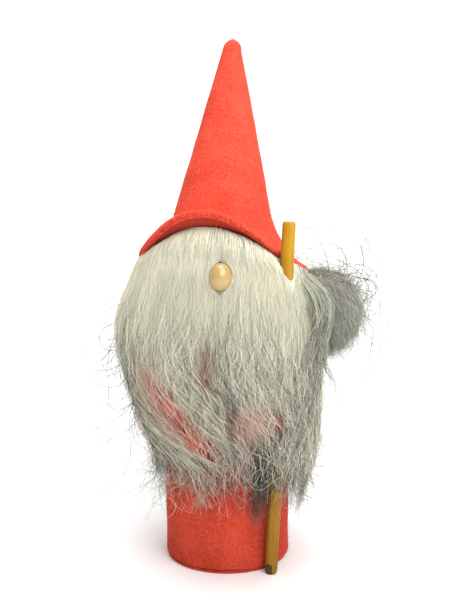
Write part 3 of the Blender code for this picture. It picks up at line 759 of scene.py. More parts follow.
def build_nose():
    """Varnished bead, slightly egg-shaped."""
    polar_angle = np.linspace(0, pi, 58)[1:-1, None]
    angle = angles_round(96)
    x = np.sin(polar_angle) * np.cos(angle)
    y = np.sin(polar_angle) * np.sin(angle)
    z = -np.cos(polar_angle) + 0 * angle
    taper = 1 + 0.05 * z
    points = np.stack([x / taper, y / taper, z], axis=-1) * NOSE_HALF + NOSE
    varnished = {"coat": 1, "roughness": 0.32, "grain": (1, 0.4, 0.35)}
    wood = bare_wood("varnished_bead", (0.45, 0.275, 0.083), (0.59, 0.405, 0.148), 420, 38, **varnished)
    poles = [NOSE + UP * s * NOSE_HALF[2] for s in (-1, 1)]
    bead = skin("nose_bead_varnished", points, wood, poles)
    settle(bead, "pale_wood", "gnome", "nose_bead")


# ------------------------ hair: where it hangs

# Outer reach of the hair in millimetres at heights above the ground, on each side of the gnome
HAIR_Z = [0, 15, 25, 35, 46, 60, 69, 81, 102, 119, 139, 148, 157, 170, 185]
HAIR_LEFT = [36, 36.5, 37, 37.5, 38.5, 41, 43.5, 47.5, 54.5, 58.5, 56.5, 52, 48.5, 45.5, 44]
HAIR_RIGHT = [35, 37, 40, 43, 45.5, 48.5, 50, 50, 50, 51, 51, 47, 42.5, 38, 36]
HAIR_FRONT = [36, 36.5, 37, 38, 40, 44, 47, 50, 54, 54.5, 53, 52, 50, 48, 45.5]
HAIR_BACK = [36, 38, 41, 44, 46.5, 49.5, 51, 52.5, 53.5, 53.5, 52.5, 51, 49, 45, 42]
ROUNDING = (-9, -4.5, 0, 4.5, 9)  # heights averaged over, so that the outline has no corners
INNER_R = 36.5
ROOT_R = 29
PARTING = -93
STAFF_CROSSING = 158  # the staff stands in front of the hair above this height, and behind it below
LOWEST = 8
DOME_R = 26
SACK_CLEAR_R = SACK_R - 3
ROOM_PAST_CAD = 9
BRIM_SAMPLES_R = (24, 52)
SAMPLE_TURN = 5
SAMPLE_REACH = 0.5
STRANDS_IN_LOCK = 20

# Places in the hair, each an azimuth, a height and half widths: thin enough to show what is behind it,
# painted with a red glow of the felt behind it with how strongly, and darker with how much
THIN_PATCHES = [(-135, 102, 8, 9), (-128, 93, 10, 11), (-119, 83, 11, 10), (-109, 75, 9, 6), (-70, 84, 14, 9)]
PAINTED_GLOW_PATCHES = [(*patch, 1) for patch in THIN_PATCHES[:4]]
PAINTED_GLOW_PATCHES += [(-100, 112, 5, 12, 0.5), (-76, 83, 16, 10, 0.6)]
# The first two dark patches are painted shade for the deep gap below the nose; the others make the hair
# darker there.
DARK_PATCHES = [
    (-100, 114, 5, 12, 0.40),
    (-87, 86, 3.6, 14, 0.5),
    (-59, 80, 3.5, 8, 0.5),
    (-24, 132, 12, 24, 0.14),
    (-38, 84, 22, 30, 0.34),
    (-168, 88, 22, 40, 0.16),
]

# Waves of the hair in millimetres: shortest and longest, size near the head, growth where it hangs loose
LOCK_SWAY = (30, 75, 0.6, 4.6)
STRAND_SWAY = (24, 55, 0.25, 1.5)
FINE_SWAY = (11, 20, 0.08, 0.42)
CRIMP_SWAY = (6.5, 10, 0.03, 0.16)
LOCK_LIFT = (28, 65, 0.2, 1.2)
STRAND_LIFT = (26, 55, 0.08, 0.45)
DRIFT = 5.5


def envelope(azimuth, z):
    """Radius of the hair's outside, blended between its four sides."""
    angle = np.radians(azimuth)
    towards = (-np.cos(angle), np.cos(angle), -np.sin(angle), np.sin(angle))
    shares = [np.maximum(toward, 0) ** 1.6 for toward in towards]
    reach = []
    for side in (HAIR_LEFT, HAIR_RIGHT, HAIR_FRONT, HAIR_BACK):
        reach.append(sum(np.interp(z + step, HAIR_Z, side) for step in ROUNDING) / len(ROUNDING))
    return sum(s * r for s, r in zip(shares, reach)) / sum(shares)


def layer_radius(azimuth, z, depth):
    """Radius of a layer of hair: depth 0 lies near the sleeve, depth 1 is the outside."""
    return INNER_R + (envelope(azimuth, z) - INNER_R) * (0.30 + 0.70 * depth)


def hair_shoulder(azimuth):
    """Height at which the hair, having come out under the brim, starts to hang."""
    low = 11.3 * bell(azimuth, RIM_LIFT_AT, RIM_LIFT_WIDTH) + 4.5 * bell(azimuth, -6, 26)
    return rim_height(azimuth) - 4.5 - low


def outwards(points):
    return unit(points * LEVEL)


def tangents(points):
    out = outwards(points)
    return np.stack([-out[..., 1], out[..., 0], 0 * out[..., 0]], axis=-1)


def under_brim(points, margin=0.5):
    """Lowers points until they clear the inside of the brim above them."""
    azimuths = np.arange(-180, 180 + SAMPLE_TURN, SAMPLE_TURN)
    nearest, furthest = BRIM_SAMPLES_R
    reaches = np.arange(nearest, furthest + SAMPLE_REACH, SAMPLE_REACH)
    brim_r, brim_z = brim_curve(azimuths, np.linspace(0, 1, 40)[:, None])
    brim_r, brim_z = sideways(brim_r, brim_z, HAT_FELT + margin)
    table = np.stack([np.interp(reaches, brim_r[:, k], brim_z[:, k]) for k in range(len(azimuths))])
    azimuth, radius = azimuth_of(points), np.hypot(points[..., 0], points[..., 1])
    row = (azimuth + 180) / SAMPLE_TURN
    column = (np.clip(radius, nearest, furthest - 0.1) - nearest) / SAMPLE_REACH
    i, j = np.minimum(row.astype(int), len(azimuths) - 2), np.minimum(column.astype(int), len(reaches) - 2)
    u, v = row - i, column - j
    low = table[i, j] * (1 - u) + table[i + 1, j] * u
    high = table[i, j + 1] * (1 - u) + table[i + 1, j + 1] * u
    ceiling = low * (1 - v) + high * v
    points = points.copy()
    lowered = np.minimum(points[..., 2], ceiling)
    points[..., 2] = np.where(radius < rim_radius(azimuth) + 1, lowered, points[..., 2])
    return points


def clear_of_line(points, line, radius):
    """Moves points within a radius of a line of points outwards from the column until they clear it."""
    points = points.copy()
    out = outwards(points)
    for a, b in zip(line, line[1:]):
        step = b - a
        t = np.clip(((points - a) @ step) / (step @ step), 0, 1)
        away = points - (a + t[..., None] * step)
        inside = radius**2 - (away**2).sum(-1)
        along = (away * out).sum(-1)
        push = -along + np.sqrt(np.maximum(along**2 + inside, 0))
        points += out * np.where(inside > 0, push, 0)[..., None]
    return points


def clear_of_ball(points, centre, half, margin):
    """The same for a ball or an ellipsoid, pushing straight away from its centre."""
    size = half + margin
    away = (points - centre) / size
    distance = np.linalg.norm(away, axis=-1, keepdims=True)
    return np.where(distance < 1, centre + away / np.maximum(distance, 1e-6) * size, points)


def part_round(offset, width):
    """Where a strand at a sideways offset runs when something of that half width stands in its way."""
    return np.where(offset < 0, -1, 1) * np.sqrt(offset**2 + width**2)


def beside_staff(points):
    """Sideways direction at the staff, and each point's distance sideways and outwards of its centre."""
    centre = staff_at(points[..., 2])
    across, away = tangents(centre), points - centre
    return across, (away * across).sum(-1), (away * outwards(centre)).sum(-1)


def step_aside(points):
    """Parts strands round the nose, and round the staff where it stands in front of them."""
    z = points[..., 2]
    front = smooth(-(points[..., 1] + 22) / 8)
    across, offset, depth = beside_staff(points)
    width = (STAFF_R + 0.5) * smooth((z - STAFF_CROSSING + 7) / 7) * front * smooth((depth + 15) / 6)
    points = points + across * (part_round(offset, width) - offset)[..., None]
    rise = z - NOSE[2]
    width = NOSE_HALF[0] * np.sqrt(np.maximum(1 - (rise / (NOSE_HALF[2] + 0.6)) ** 2, 0)) * front
    offset = points[..., 0] - NOSE[0]
    points[..., 0] += part_round(offset, width) - offset
    return points


right_arm = arm_path(-4, staff_at(np.array(GRIP_Z)))
left_arm = arm_path(184, polar(ARM_PATH_R, LEFT_HAND_AZ, LEFT_HAND_Z))


def keep_clear(paths):
    """Hair lies outside the sleeve, the arms, the hands and the sack, and under the brim."""
    paths = step_aside(paths)
    radius = np.linalg.norm(paths[..., :2], axis=-1)
    floor_r = np.where(paths[..., 2] < SLEEVE_TOP, BODY_R + 0.9, DOME_R)
    paths = paths + outwards(paths) * np.maximum(floor_r - radius, 0)[..., None]
    for line, hand_r in ((right_arm, HAND_R), (left_arm, LEFT_HAND_R)):
        paths = clear_of_line(paths, line[::3], ARM_R + 0.5)
        paths = clear_of_ball(paths, line[-1], max(hand_r, 7) + 0.9, 0.4)
    low = paths[..., 2] < STAFF_CROSSING
    over = clear_of_line(paths, np.array([STAFF_BOTTOM, STAFF_TOP]), STAFF_R + 0.6)
    paths = np.where(low[..., None], over, paths)
    paths = clear_of_ball(paths, SACK_CENTRE, SACK_CLEAR_R, 1.5)
    paths = under_brim(clear_of_ball(paths, NOSE, NOSE_HALF, 0.35))
    paths[..., 2] = np.maximum(paths[..., 2], LOWEST)
    return paths


# ------------------------ hair: strands


def waves(count, fallen, shortest, longest, draw):
    """Smooth wandering along each strand: three sines of drawn length, phase and size."""
    total = np.zeros_like(fallen)
    for _ in range(3):
        length = np.exp(draw.uniform(np.log(shortest), np.log(longest), (count, 1)))
        size = draw.normal(0, 0.6, (count, 1))
        total += size * np.sin(draw.uniform(0, 2 * pi, (count, 1)) + 2 * pi * fallen / length)
    return total


def sweep(azimuth, z):
    """Degrees by which the lower beard is combed round to the staff, after a slight swell the other way."""
    far_left = 72 * bell(azimuth, -172, 22) * below(z, 96, 42) ** 1.2
    left = 34 * bell(azimuth, -132, 24) * below(z, 104, 50)
    middle = 24 * bell(azimuth, -88, 30) * below(z, 116, 58)
    swell = 5 * bell(azimuth, -135, 40) * below(z, 165, 60)
    return far_left + left + middle - swell


def hang(azimuth, depth, end_z, per_lock, draw, points=17, frizz=1, crimp=0):
    """Strands in locks: out over the hide under the brim, then down inside the envelope.

    azimuth, depth and end_z have one value per lock. Strands start spread round their lock, wave with it,
    and wave and cross on their own.
    """
    locks = len(azimuth)
    count = locks * per_lock

    def each(values):
        return np.repeat(values, per_lock, axis=0)

    angle = each(azimuth)[:, None] + draw.normal(0, 1.7, (count, 1))
    deep = np.clip(each(depth)[:, None] + draw.normal(0, 0.09, (count, 1)), 0, 1.3)
    start = hair_shoulder(angle)
    length = draw.uniform(0.55, 1.05, (count, 1))
    end = np.maximum(start - (start - each(end_z)[:, None]) * length, LOWEST + 1)
    share = np.linspace(0, 1, points)[None, :]
    arch = 0.16
    over_arch = np.clip(share / arch, 0, 1)
    turn = -0.35 + over_arch * (pi / 2 + 0.35)
    falling = np.clip((share - arch) / (1 - arch), 0, 1)
    z = start + (4 + 4.5 * deep) * np.cos(turn) - (start - end) * falling
    fallen = (start - end) * falling
    fallen_lock = np.repeat(np.linspace(0, 120, points)[None, :], locks, axis=0)
    loose = smooth(fallen / 95)
    angle = angle + sweep(angle, z)
    radius = layer_radius(angle, np.minimum(z, start), deep)
    radius = ROOT_R + (radius - ROOT_R) * np.sin(turn)

    def together(shortest, longest, size, growth):
        return each(waves(locks, fallen_lock, shortest, longest, draw)) * (size + growth * loose)

    def alone(shortest, longest, size, growth):
        return waves(count, fallen, shortest, longest, draw) * (size + growth * loose)

    sway = together(*LOCK_SWAY)
    for wave, share_of_it in ((STRAND_SWAY, frizz), (FINE_SWAY, frizz), (CRIMP_SWAY, crimp)):
        sway += alone(*wave) * share_of_it
    sway += draw.normal(0, 1, (count, 1)) * DRIFT * loose * frizz
    lift = together(*LOCK_LIFT)
    lift += alone(*STRAND_LIFT) * frizz
    paths = polar(radius + lift * over_arch, angle, z)
    return keep_clear(paths + tangents(paths) * sway[..., None])


def along_share(lines, share):
    """Points at a share (n, m) of the way along each line (n, m, 3)."""
    place = share * (lines.shape[1] - 1)
    low = np.minimum(place.astype(int), lines.shape[1] - 2)
    part = (place - low)[..., None]
    row = np.arange(len(lines))[:, None]
    return lines[row, low] * (1 - part) + lines[row, low + 1] * part


def from_patch(azimuth, z, patch):
    """Below 1 inside a patch and above 1 outside it."""
    away = (azimuth - patch[0] + 180) % 360 - 180
    return (away / patch[2]) ** 2 + ((z - patch[1]) / patch[3]) ** 2


def thin_out(paths, share, draw):
    """Ends a share of the strands that would cross a thin patch near where they reach it."""
    reach = np.ones(len(paths))
    steps = np.arange(paths.shape[1]) / (paths.shape[1] - 1)
    chosen = draw.uniform(size=len(paths)) < share
    for patch in THIN_PATCHES:
        inside = from_patch(azimuth_of(paths), paths[..., 2], patch) < 1
        first = np.where(inside.any(1), steps[inside.argmax(1)], 1)
        reach = np.where(chosen, np.minimum(reach, first), reach)
    return along_share(paths, steps[None, :] * np.maximum(reach, 0.3)[:, None])


def strand_tones(paths, per_lock, draw, base=0.74, dark_share=0.10):
    """Pale near the head and greyer downwards, partly the hair's own colour and partly painted shade, with
    grey and dark strands and locks mixed in.
    """
    count = len(paths)
    azimuth, z = azimuth_of(paths), paths[..., 2]
    # Greyer downwards: partly the hair's own colour, partly painted shade.
    low = below(z, 158, 62)
    lock = np.repeat(draw.normal(0, 1, count // per_lock), per_lock)[:, None]
    own = draw.normal(0, 1, (count, 1))
    dark = (draw.uniform(size=(count, 1)) < dark_share) * draw.uniform(0.2, 0.65, (count, 1))
    pale = 0.98 - 0.4 * (0.98 - base)
    tone = pale + (base - pale) * low + lock * (0.03 + 0.1 * low) + own * (0.06 + 0.2 * low)
    # Painted light: strands over the thin patches are made paler, as if lit through.
    for patch in THIN_PATCHES:
        tone = tone + 0.28 * np.exp(-from_patch(azimuth, z, patch))
    # Darker strands in the dark patches; below the nose this is painted shade.
    for patch in DARK_PATCHES:
        share = draw.uniform(0.5, 1.4, (count, 1))
        tone = tone - patch[4] * np.exp(-from_patch(azimuth, z, patch)) * share
    return np.clip(tone - dark * (0.32 + 0.68 * low), 0, 1)


def add_strands(name, paths, tone, root, tip, draw, thin_below=62, fur=False):
    """Tapered strands, finer below a height, with a painted red glow where felt lies behind them. fur makes
    them the sack's.
    """
    taper = np.linspace(1, 0, paths.shape[1])[None, :] ** 0.7 * (root - tip) + tip
    radii = taper * draw.uniform(0.75, 1.25, (len(paths), 1))
    azimuth, z = azimuth_of(paths), paths[..., 2]
    thin = 0.045 + 0.1 * smooth((z - thin_below + 20) / 20)
    radii = np.where(z < thin_below, np.minimum(radii, thin), radii)
    # Painted red glow over the thin patches, strong on about half of the strands.
    painted_glow = np.zeros(radii.shape)
    for patch in PAINTED_GLOW_PATCHES:
        painted_glow = np.maximum(painted_glow, patch[4] * np.exp(-1.2 * from_patch(azimuth, z, patch)))
    painted_glow = np.clip(painted_glow * draw.choice([0.12, 0.95], (len(paths), 1), p=[0.42, 0.58]), 0, 1)
    piece = tubes(name, paths, radii, fur_hair if fur else white_hair, tone=tone, painted_glow=painted_glow)
    settle(piece, *(("fur", "sack") if fur else ("hair", "gnome")))


def spread_out(first, last, count, draw):
    """Azimuths spread evenly with a little disorder."""
    return first + (last - first) * (np.arange(count) + draw.uniform(0, 1, count)) / count


def beard_ends(azimuth, depth, draw):
    """How low each front lock hangs: a dense edge, with some thin locks that reach further."""
    low = 65 + 8 * bell(azimuth, -155, 25) - 18 * bell(azimuth, -28, 22) - 4 * depth
    ends = low + draw.normal(0, 5, len(azimuth))
    thin = draw.uniform(size=len(azimuth)) < 0.14
    return np.where(thin, draw.uniform(34, 52, len(azimuth)), ends)


def back_ends(azimuth, depth, draw):
    """How low the hair hangs at the back and the sides."""
    low = 34 - 4 * bell(azimuth, 0, 40) + 14 * bell(azimuth, 180, 30)
    ends = low + draw.normal(0, 9, len(azimuth)) + 10 * (1 - depth)
    return np.maximum(ends, 12)


def build_layers(prefix, layers, sides, ends_of, tip, seed):
    """Hair in layers, dark and matted inside, pale and loose outside, each in a left and a right piece."""
    for k, (layer, locks, per_lock, depths, tone, dark, points, root, thinned) in enumerate(layers):
        for side, first, last in sides:
            draw = np.random.default_rng(seed + 2 * k + (side == "left"))
            azimuth = spread_out(first, last, locks, draw)
            depth = draw.uniform(*depths, locks)
            ends = ends_of(azimuth, depth, draw)
            paths = hang(azimuth, depth, ends, per_lock, draw, points, crimp=depth.mean())
            if thinned > 0:
                paths = thin_out(paths, thinned, draw)
            tones = strand_tones(paths, per_lock, draw, tone, dark)
            add_strands(f"{prefix}_{layer}_{side}", paths, tones, root, tip, draw)


# Name, locks a side, strands a lock, depths, tone, share of dark strands, points, root radius, share thinned
BEARD_LAYERS = (
    ("under", 42, 20, (0, 0.45), 0.30, 0.3, 16, 0.20, 1),
    ("middle", 60, 20, (0.4, 0.8), 0.42, 0.25, 18, 0.18, 0.97),
    ("top", 66, 20, (0.75, 0.97), 0.72, 0.18, 30, 0.15, 0.92),
    ("outer", 66, 14, (0.92, 1.04), 1, 0.1, 46, 0.155, 0.76),
)
BACK_LAYERS = (
    ("under", 42, 20, (0, 0.5), 0.30, 0.3, 15, 0.20, 0),
    ("top", 66, 20, (0.5, 0.95), 0.52, 0.25, 22, 0.17, 0),
    ("outer", 66, 12, (0.9, 1.03), 0.84, 0.08, 40, 0.165, 0),
)


def build_undercoat(name, node, azimuths, foot, rise, rise_at):
    """Matted layer next to the hide, thick under the brim, with a ragged foot that rises at one azimuth."""
    rows = 60
    azimuth = np.linspace(*azimuths, 150)[:, None]
    foot = foot + rise * bell(azimuth, *rise_at)
    share = np.linspace(0, 1, rows)[None, :]
    ragged = 6 * np.sin(azimuth * 0.31) + 4 * np.sin(azimuth * 0.83 + 1) + 2 * np.sin(azimuth * 2.1)
    arch = 10 / (rows - 1)
    turn = np.clip(share / arch, 0, 1) * pi / 2
    falling = np.clip((share - arch) / (1 - arch), 0, 1)
    start = hair_shoulder(azimuth) - 0.5
    z = start + 5.5 * np.cos(turn) - (start - foot - ragged) * falling
    radius = layer_radius(azimuth, np.minimum(z, start), 0.42)
    radius = ROOT_R + 1 + (radius - ROOT_R - 1) * np.sin(turn)
    tufts = 0.7 * ripple(polar(radius, azimuth, z * 0.22), 5, 41)
    tufts = tufts + 0.4 * ripple(polar(radius, azimuth, z * 0.1), 2.2, 42)
    outer = polar(radius + tufts * np.sin(turn), azimuth, z)
    outer = sink_at_staff(under_brim(outer, 2.2))
    outer = clear_of_ball(outer, NOSE, NOSE_HALF, 0.6)
    outer = clear_of_ball(outer, SACK_CENTRE, SACK_CLEAR_R, 0.5)
    thick = 0.8 + 2.4 * (1 - smooth(share))
    inner = outer - outwards(outer) * (thick * np.sin(turn))[..., None]
    inner[..., 2] -= thick * np.cos(turn)
    wall = np.concatenate([outer, inner[:, ::-1]], axis=1)
    settle(skin(name, wall, pale_undercoat, webbed=True), "hair", "gnome", node)


def sink_at_staff(points):
    """The undercoat dips behind the staff, which is free to slide in front of it."""
    _, offset, depth = beside_staff(points)
    limit = -(STAFF_R + 0.8) + 9 * smooth((np.abs(offset) - 4) / 7)
    near = (points[..., 1] < 0) & (np.abs(offset) < 11)
    extra = np.where(near, np.maximum(depth - limit, 0), 0)
    return points - outwards(staff_at(points[..., 2])) * extra[..., None]


def wander(starts, heading, length, turn, draw, points=44, droop=0.012):
    """Free curly hairs: each keeps turning about a slowly changing axis. turn is in radians per mm."""
    step = (length / (points - 1))[:, None]
    spin = draw.normal(0, turn, starts.shape)
    path = [starts]
    for _ in range(points - 1):
        spin = spin * 0.95 + draw.normal(0, turn * 0.3, starts.shape)
        heading = unit(heading + np.cross(spin, heading) * step - UP * droop * step)
        path.append(path[-1] + heading * step)
    return np.stack(path, axis=1)


# Name, count, azimuths, heights, lengths, turn, tone, how far outwards, root radius
WISPS = (
    ("hair_haze", 420, (-185, 180), (60, 150), (16, 40), 0.06, 0.52, 0.24, 0.085),
    ("hair_curls_left", 56, (-205, -150), (84, 152), (40, 85), 0.055, 0.30, 0.42, 0.15),
    ("hair_frizz_low", 380, (-168, -20), (50, 62), (10, 36), 0.13, 0.40, 0.05, 0.075),
    ("hair_frizz_back", 420, (-15, 185), (34, 60), (14, 30), 0.10, 0.50, 0.15, 0.10),
)


def build_wisps():
    """Loose hairs: a haze round the outline, curls at the left, and thin frizz below the hair's edge."""
    for k, (name, count, azimuths, heights, lengths, turn, tone, outward, root) in enumerate(WISPS):
        draw = np.random.default_rng(SEED + 300 + k)
        azimuth = draw.uniform(*azimuths, count)
        z = draw.uniform(*heights, count)
        starts = polar(envelope(azimuth, z) - draw.uniform(0.5, 4, count), azimuth, z)
        heading = outwards(starts) * outward - UP + draw.normal(0, 0.35, (count, 3))
        paths = wander(starts, unit(heading), draw.uniform(*lengths, count), turn, draw)
        paths = within_reach(keep_clear(paths))
        tones = strand_tones(paths, 1, draw, tone, 0.2)
        add_strands(name, paths, tones, root, 0.6 * root, draw, thin_below=0)


def within_reach(paths):
    """Turns hairs back where they would go more than ROOM_PAST_CAD millimetres past the CAD frame's box, and
    keeps them above the floor.
    """
    low, high = np.array(cad_box[0]) / MM - ROOM_PAST_CAD, np.array(cad_box[1]) / MM + ROOM_PAST_CAD
    low[2] = 1
    over = np.maximum(paths - high, 0) - np.maximum(low - paths, 0)
    return paths - over * 1.2


def build_dark_locks():
    """Nearly black hide hair that hangs beside the staff."""
    draw = np.random.default_rng(SEED + 400)
    azimuth = draw.normal(-86, 0.6, 6)
    paths = hang(azimuth, draw.uniform(0.6, 0.95, 6), draw.uniform(24, 40, 6), 40, draw, 30, 0.4, 1)
    tone = 0.08 + draw.normal(0, 0.08, (len(paths), 1)) + 0.6 * smooth((paths[..., 2] - 66) / 14)
    add_strands("beard_dark_locks", paths, np.clip(tone, 0, 0.7), 0.19, 0.10, draw, thin_below=0)


def build_edge_locks():
    """Wavy locks combed across the front above the beard's lower edge, over the staff."""
    draw = np.random.default_rng(SEED + 430)
    azimuth = np.concatenate([spread_out(-182, -134, 22, draw), spread_out(-126, -66, 42, draw)])
    ends = np.concatenate([draw.uniform(56, 80, 22), draw.uniform(47, 60, 42)])
    paths = hang(azimuth, draw.uniform(0.85, 1.1, 64), ends, STRANDS_IN_LOCK, draw, 46, 1.3, 1.5)
    paths = thin_out(paths, 0.55, draw)[:, 23:]
    tones = strand_tones(paths, STRANDS_IN_LOCK, draw, 0.74, 0.2)
    add_strands("beard_edge_locks", paths, tones, 0.13, 0.05, draw)


def build_locks_over_sack():
    """Pale locks that spill from under the brim across the near side of the sack."""
    draw = np.random.default_rng(SEED + 420)
    locks = 18
    azimuth = spread_out(-40, -4, locks, draw)
    depth, ends = draw.uniform(1, 1.2, locks), draw.uniform(88, 116, locks)
    paths = hang(azimuth, depth, ends, STRANDS_IN_LOCK, draw, 40, 1.4, 1)
    z = paths[..., 2]
    fullness = np.repeat(draw.uniform(0.3, 1.3, (locks, 1)), STRANDS_IN_LOCK, axis=0)
    flicked = np.repeat(draw.uniform(size=(locks, 1)) < 0.3, STRANDS_IN_LOCK, axis=0)
    reach = 1 + 4 * bell(z, 142, 15) * fullness + 7 * below(z, 112, 18) * flicked
    paths = paths + outwards(paths) * reach[..., None] * below(z, 158, 12)[..., None]
    tones = strand_tones(paths, STRANDS_IN_LOCK, draw, 0.62, 0.2) - 0.12
    add_strands("beard_locks_over_sack", paths, np.clip(tones, 0, 1), 0.15, 0.05, draw)


def build_crown_hair():
    """Short fine hair that softens the forehead between the long locks."""
    for side, first, last in (("left", -182, PARTING), ("right", PARTING, 0)):
        draw = np.random.default_rng(SEED + 410 + (side == "left"))
        azimuth = spread_out(first, last, 90, draw)
        depth, ends = draw.uniform(1, 1.14, 90), draw.uniform(104, 144, 90)
        paths = hang(azimuth, depth, ends, 28, draw, 13, 1.3)
        tones = strand_tones(paths, 28, draw, 0.92, 0.05)
        add_strands(f"crown_hair_{side}", paths, tones, 0.085, 0.035, draw)


# ------------------------ sack

sack_up = unit(SACK_TIE - SACK_CENTRE)
sack_side = unit(np.cross(sack_up, UP))
sack_third = np.cross(sack_up, sack_side)
SACK_SKIN_R = SACK_R - 3.4


def on_ball(cosine, angle):
    """Directions from the sack's centre, from the cosine of the angle off its neck and the angle round it."""
    sine = np.sqrt(1 - cosine**2)
    across = sack_side * (sine * np.cos(angle))[..., None] + sack_third * (sine * np.sin(angle))[..., None]
    return sack_up * (cosine + 0 * angle)[..., None] + across


def build_sack():
    """Fur ball: a lumpy undercoat with fur combed down from the neck, and a loose curly halo."""
    off_neck = np.linspace(0.16, pi - 0.05, 44)[:, None]
    ball = on_ball(np.cos(off_neck), angles_round(72)[None, :])
    outside = SACK_CENTRE + ball * (SACK_SKIN_R + 0.7 * ripple(ball * SACK_SKIN_R, 11, 51))[..., None]
    inside = SACK_CENTRE + ball * (SACK_SKIN_R - 2.5)
    lowest = SACK_CENTRE - sack_up * SACK_SKIN_R
    rows = np.concatenate([inside[::-1], outside])[::-1]
    base = skin("sack_fur_undercoat", rows, fur_undercoat, (lowest, lowest + sack_up * 2.5))
    settle(base, "fur", "sack", "sack_hair")
    grow_fur("sack_fur_under", 2600, 15, 0, SEED + 500, 0.36, 0.9)
    grow_fur("sack_fur_top", 2800, 27, 1, SEED + 501, 0.52, 0.9, 0.6)
    grow_fur("sack_fur_fuzz", 2600, 13, 1.5, SEED + 502, 0.50, 3, 1.4, 0.055)
    build_sack_curls(48)


def build_sack_curls(count):
    """Long hairs that spring off the sack, most of them up and outwards."""
    draw = np.random.default_rng(SEED + 510)
    outward = unit(np.array([1, 0, 0.7]) + draw.normal(0, 0.5, (count, 3)))
    starts = SACK_CENTRE + outward * (SACK_R - 4)
    heading = unit(outward * 0.8 + draw.normal(0, 0.6, (count, 3)))
    paths = wander(starts, heading, draw.uniform(35, 105, count), 0.05, draw, 60, 0.003)
    paths = within_reach(off_the_column(paths))
    tone = np.clip(0.34 + draw.normal(0, 0.12, (count, 1)) + np.zeros((1, 60)), 0, 1)
    add_strands("sack_long_curls", paths, tone, 0.19, 0.11, draw, fur=True)


def grow_fur(name, count, length, above_skin, seed, base_tone, lift, curl=1, root=0.13):
    """Fur rooted over the ball: it leaves the skin, then bends to lie along it away from the neck."""
    draw = np.random.default_rng(seed)
    cosine = draw.uniform(-0.98, 0.985, count)
    normal = on_ball(cosine, draw.uniform(0, 2 * pi, count))
    down = -sack_up * 0.7 - UP * 0.6 + draw.normal(0, 0.45 * curl, (count, 3))
    lay = unit(down - normal * (down * normal).sum(-1, keepdims=True))
    radius = SACK_SKIN_R + above_skin
    t = np.linspace(0, 1, 11)[None, :]
    turn = length * draw.uniform(0.5, 1.15, (count, 1)) * t / radius
    height = (1.2 + lift * draw.gamma(2, 1, (count, 1)) * t**0.9) * np.ones_like(t)
    around_ball = normal[:, None] * np.cos(turn)[..., None] + lay[:, None] * np.sin(turn)[..., None]
    paths = SACK_CENTRE + around_ball * (radius + height)[..., None]
    for k in (1, 2, 3):
        phase = draw.uniform(0, 2 * pi, (count, 1, 3))
        size = draw.normal(0, 0.7 * curl * lift**0.5 / k, (count, 1, 3))
        paths += size * np.sin(phase + 2.3 * k * t[..., None]) * t[..., None]
    paths = within_reach(off_the_column(paths))
    sunlit = 0.15 * (normal @ unit(np.array([0.8, -0.2, 0.55])))[:, None]
    tone = np.clip(base_tone + sunlit + draw.normal(0, 0.13, (count, 1)) + 0.08 * t, 0, 1)
    add_strands(name, paths, tone, root, 0.045, draw, fur=True)


def off_the_column(paths):
    radius = np.linalg.norm(paths[..., :2], axis=-1)
    return paths + outwards(paths) * np.maximum(BODY_R + 2 - radius, 0)[..., None]


# ------------------------ hidden pieces keep their CAD shape


def dress_hidden_pieces():
    """Materials for the CAD pieces that the felt and the hair cover."""
    plain_wood = bare_wood("plain_wood", (0.42, 0.28, 0.15), (0.66, 0.48, 0.29))
    card = matt("grey_card", (0.24, 0.19, 0.13), (0.40, 0.32, 0.23), 300)
    cotton = matt("cotton_bag", (0.38, 0.34, 0.27), (0.58, 0.53, 0.44), 700)
    wadding = matt("wadding", (0.66, 0.66, 0.62), (0.86, 0.86, 0.83), 220, 0.8)
    # Painted shade, as on the body's felt.
    base_felt = felt("base_felt_red", *SHADED_BODY_RED, low_shade=1)
    hide = matt("tanned_hide", (0.30, 0.23, 0.16), (0.50, 0.41, 0.30), 500, 0.2, 0.75)
    cord = thread("twisted_cord", (0.26, 0.21, 0.15), (0.48, 0.41, 0.31))
    looks = (
        (plain_wood, ("base_disc", "head_block", "nose_peg")),
        (card, ("core_tube",)),
        (cotton, ("ballast_bag",)),
        (wadding, ("hat_stuffing", "sack_stuffing")),
        (base_felt, ("base_felt",)),
        (hide, ("beard_hide", "nape_hide", "sack_hide")),
        (cord, ("sack_cord",)),
    )
    for mat, nodes in looks:
        for node in nodes:
            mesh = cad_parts[node].data
            mesh.materials.clear()
            mesh.materials.append(mat)


# ------------------------ studio

# Metres: each lamp's name, place, target, width and watts
LAMPS = (
    ("key", (0.42, -0.9, 0.95), (0, 0, 0.14), 1.3, 17.6),
    ("fill", (-0.9, -0.7, 0.45), (0, 0, 0.13), 1, 0.4),
    ("top", (0, 0.15, 1.3), (0, 0, 0.1), 1.2, 13),
    ("backdrop_left", (-1.1, 0.7, 0.5), (-0.9, 1.9, 0.3), 0.8, 9),
    ("backdrop_right", (1.1, 0.7, 0.5), (0.9, 1.9, 0.3), 0.8, 9),
)
SOFTENED_WHITE = (1, 0.99, 0.97)
ROOM_LIGHT = 0.3


def build_lamps():
    for name, place, target, width, watts in LAMPS:
        lamp = bpy.data.lights.new(name, "AREA")
        lamp.shape = "DISK"
        lamp.size = width
        lamp.energy = watts
        lamp.color = SOFTENED_WHITE if name == "key" else (1, 1, 1)
        obj = bpy.data.objects.new(name, lamp)
        obj.location = place
        obj.rotation_euler = (Vector(target) - Vector(place)).to_track_quat("-Z", "Y").to_euler()
        bpy.context.scene.collection.objects.link(obj)


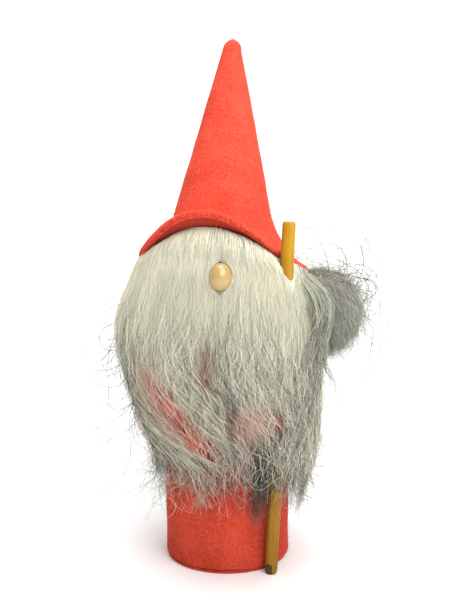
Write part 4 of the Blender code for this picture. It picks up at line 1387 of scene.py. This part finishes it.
def build_sweep():
    """White floor that curves up into a wall behind the gnome."""
    look = Look("white_sweep", 0.9)
    white = look.finish(look.ramp(look.noise(3), (0.3, (0.93, 0.93, 0.93)), (0.7, (0.96, 0.96, 0.96))))
    half, turn, height, floor_end = 3000, 900, 3000, 600
    bend = np.radians(np.linspace(-90, 0, 17))
    y = np.concatenate([[-half], turn * np.cos(bend) + floor_end, [turn + floor_end]])
    z = np.concatenate([[0], turn + turn * np.sin(bend), [height]])
    left = np.stack([np.full(len(y), -half), y, z], axis=-1)
    points = np.concatenate([left, left * np.array([-1, 1, 1])])
    k = np.arange(len(y) - 1)
    quads = np.stack([k, k + len(y), k + len(y) + 1, k + 1], axis=-1)
    add_mesh("studio_sweep", points, quads, mat=white)


def build_room():
    """A dim white room to light by, which the camera sees as plain white."""
    world = bpy.data.worlds.new("pale_room")
    world.use_nodes = True
    nodes, links = world.node_tree.nodes, world.node_tree.links
    background = nodes["Background"]
    background.inputs["Color"].default_value = (1, 1, 1, 1)
    seen = nodes.new("ShaderNodeLightPath").outputs["Is Camera Ray"]
    strength = nodes.new("ShaderNodeMapRange")
    strength.inputs["To Min"].default_value = ROOM_LIGHT
    links.new(seen, strength.inputs["Value"])
    links.new(strength.outputs["Result"], background.inputs["Strength"])
    bpy.context.scene.world = world
    bpy.context.scene.view_settings.view_transform = "Standard"


def build_camera():
    """Camera level with the hat's brim, tipped slightly down."""
    camera = bpy.data.cameras.new("camera")
    camera.lens = 47.2
    camera.sensor_width = 36
    camera.clip_start = 0.01
    obj = bpy.data.objects.new("camera", camera)
    obj.location = (0.0016, -0.439, 0.180)
    obj.rotation_euler = (radians(90 - 5.5), 0, 0)
    bpy.context.scene.collection.objects.link(obj)
    bpy.context.scene.camera = obj


# ------------------------ all of it

dress_hidden_pieces()
build_hat()
build_rim_stitches()
build_back_seam()
build_hat_fuzz()
build_body()
build_staff()
build_nose()
build_arm("right", right_arm, HAND_R, staff_at(np.array(GRIP_Z)))
build_arm("left", left_arm, LEFT_HAND_R, left_arm[-1])
build_undercoat("beard_undercoat", "beard_hair", (-172, -8), 112, 13, (-138, 22))
build_undercoat("nape_undercoat", "back_hair", (-6, 186), 84, -26, (90, 60))
BEARD_SIDES = (("left", -178, PARTING), ("right", PARTING, -8))
BACK_SIDES = (("right", -14, 90), ("left", 90, 190))
build_layers("beard", BEARD_LAYERS, BEARD_SIDES, beard_ends, 0.045, SEED + 100)
build_layers("back_hair", BACK_LAYERS, BACK_SIDES, back_ends, 0.06, SEED + 200)
build_wisps()
build_dark_locks()
build_crown_hair()
build_locks_over_sack()
build_edge_locks()
build_sack()
build_sweep()
build_lamps()
build_room()
build_camera()
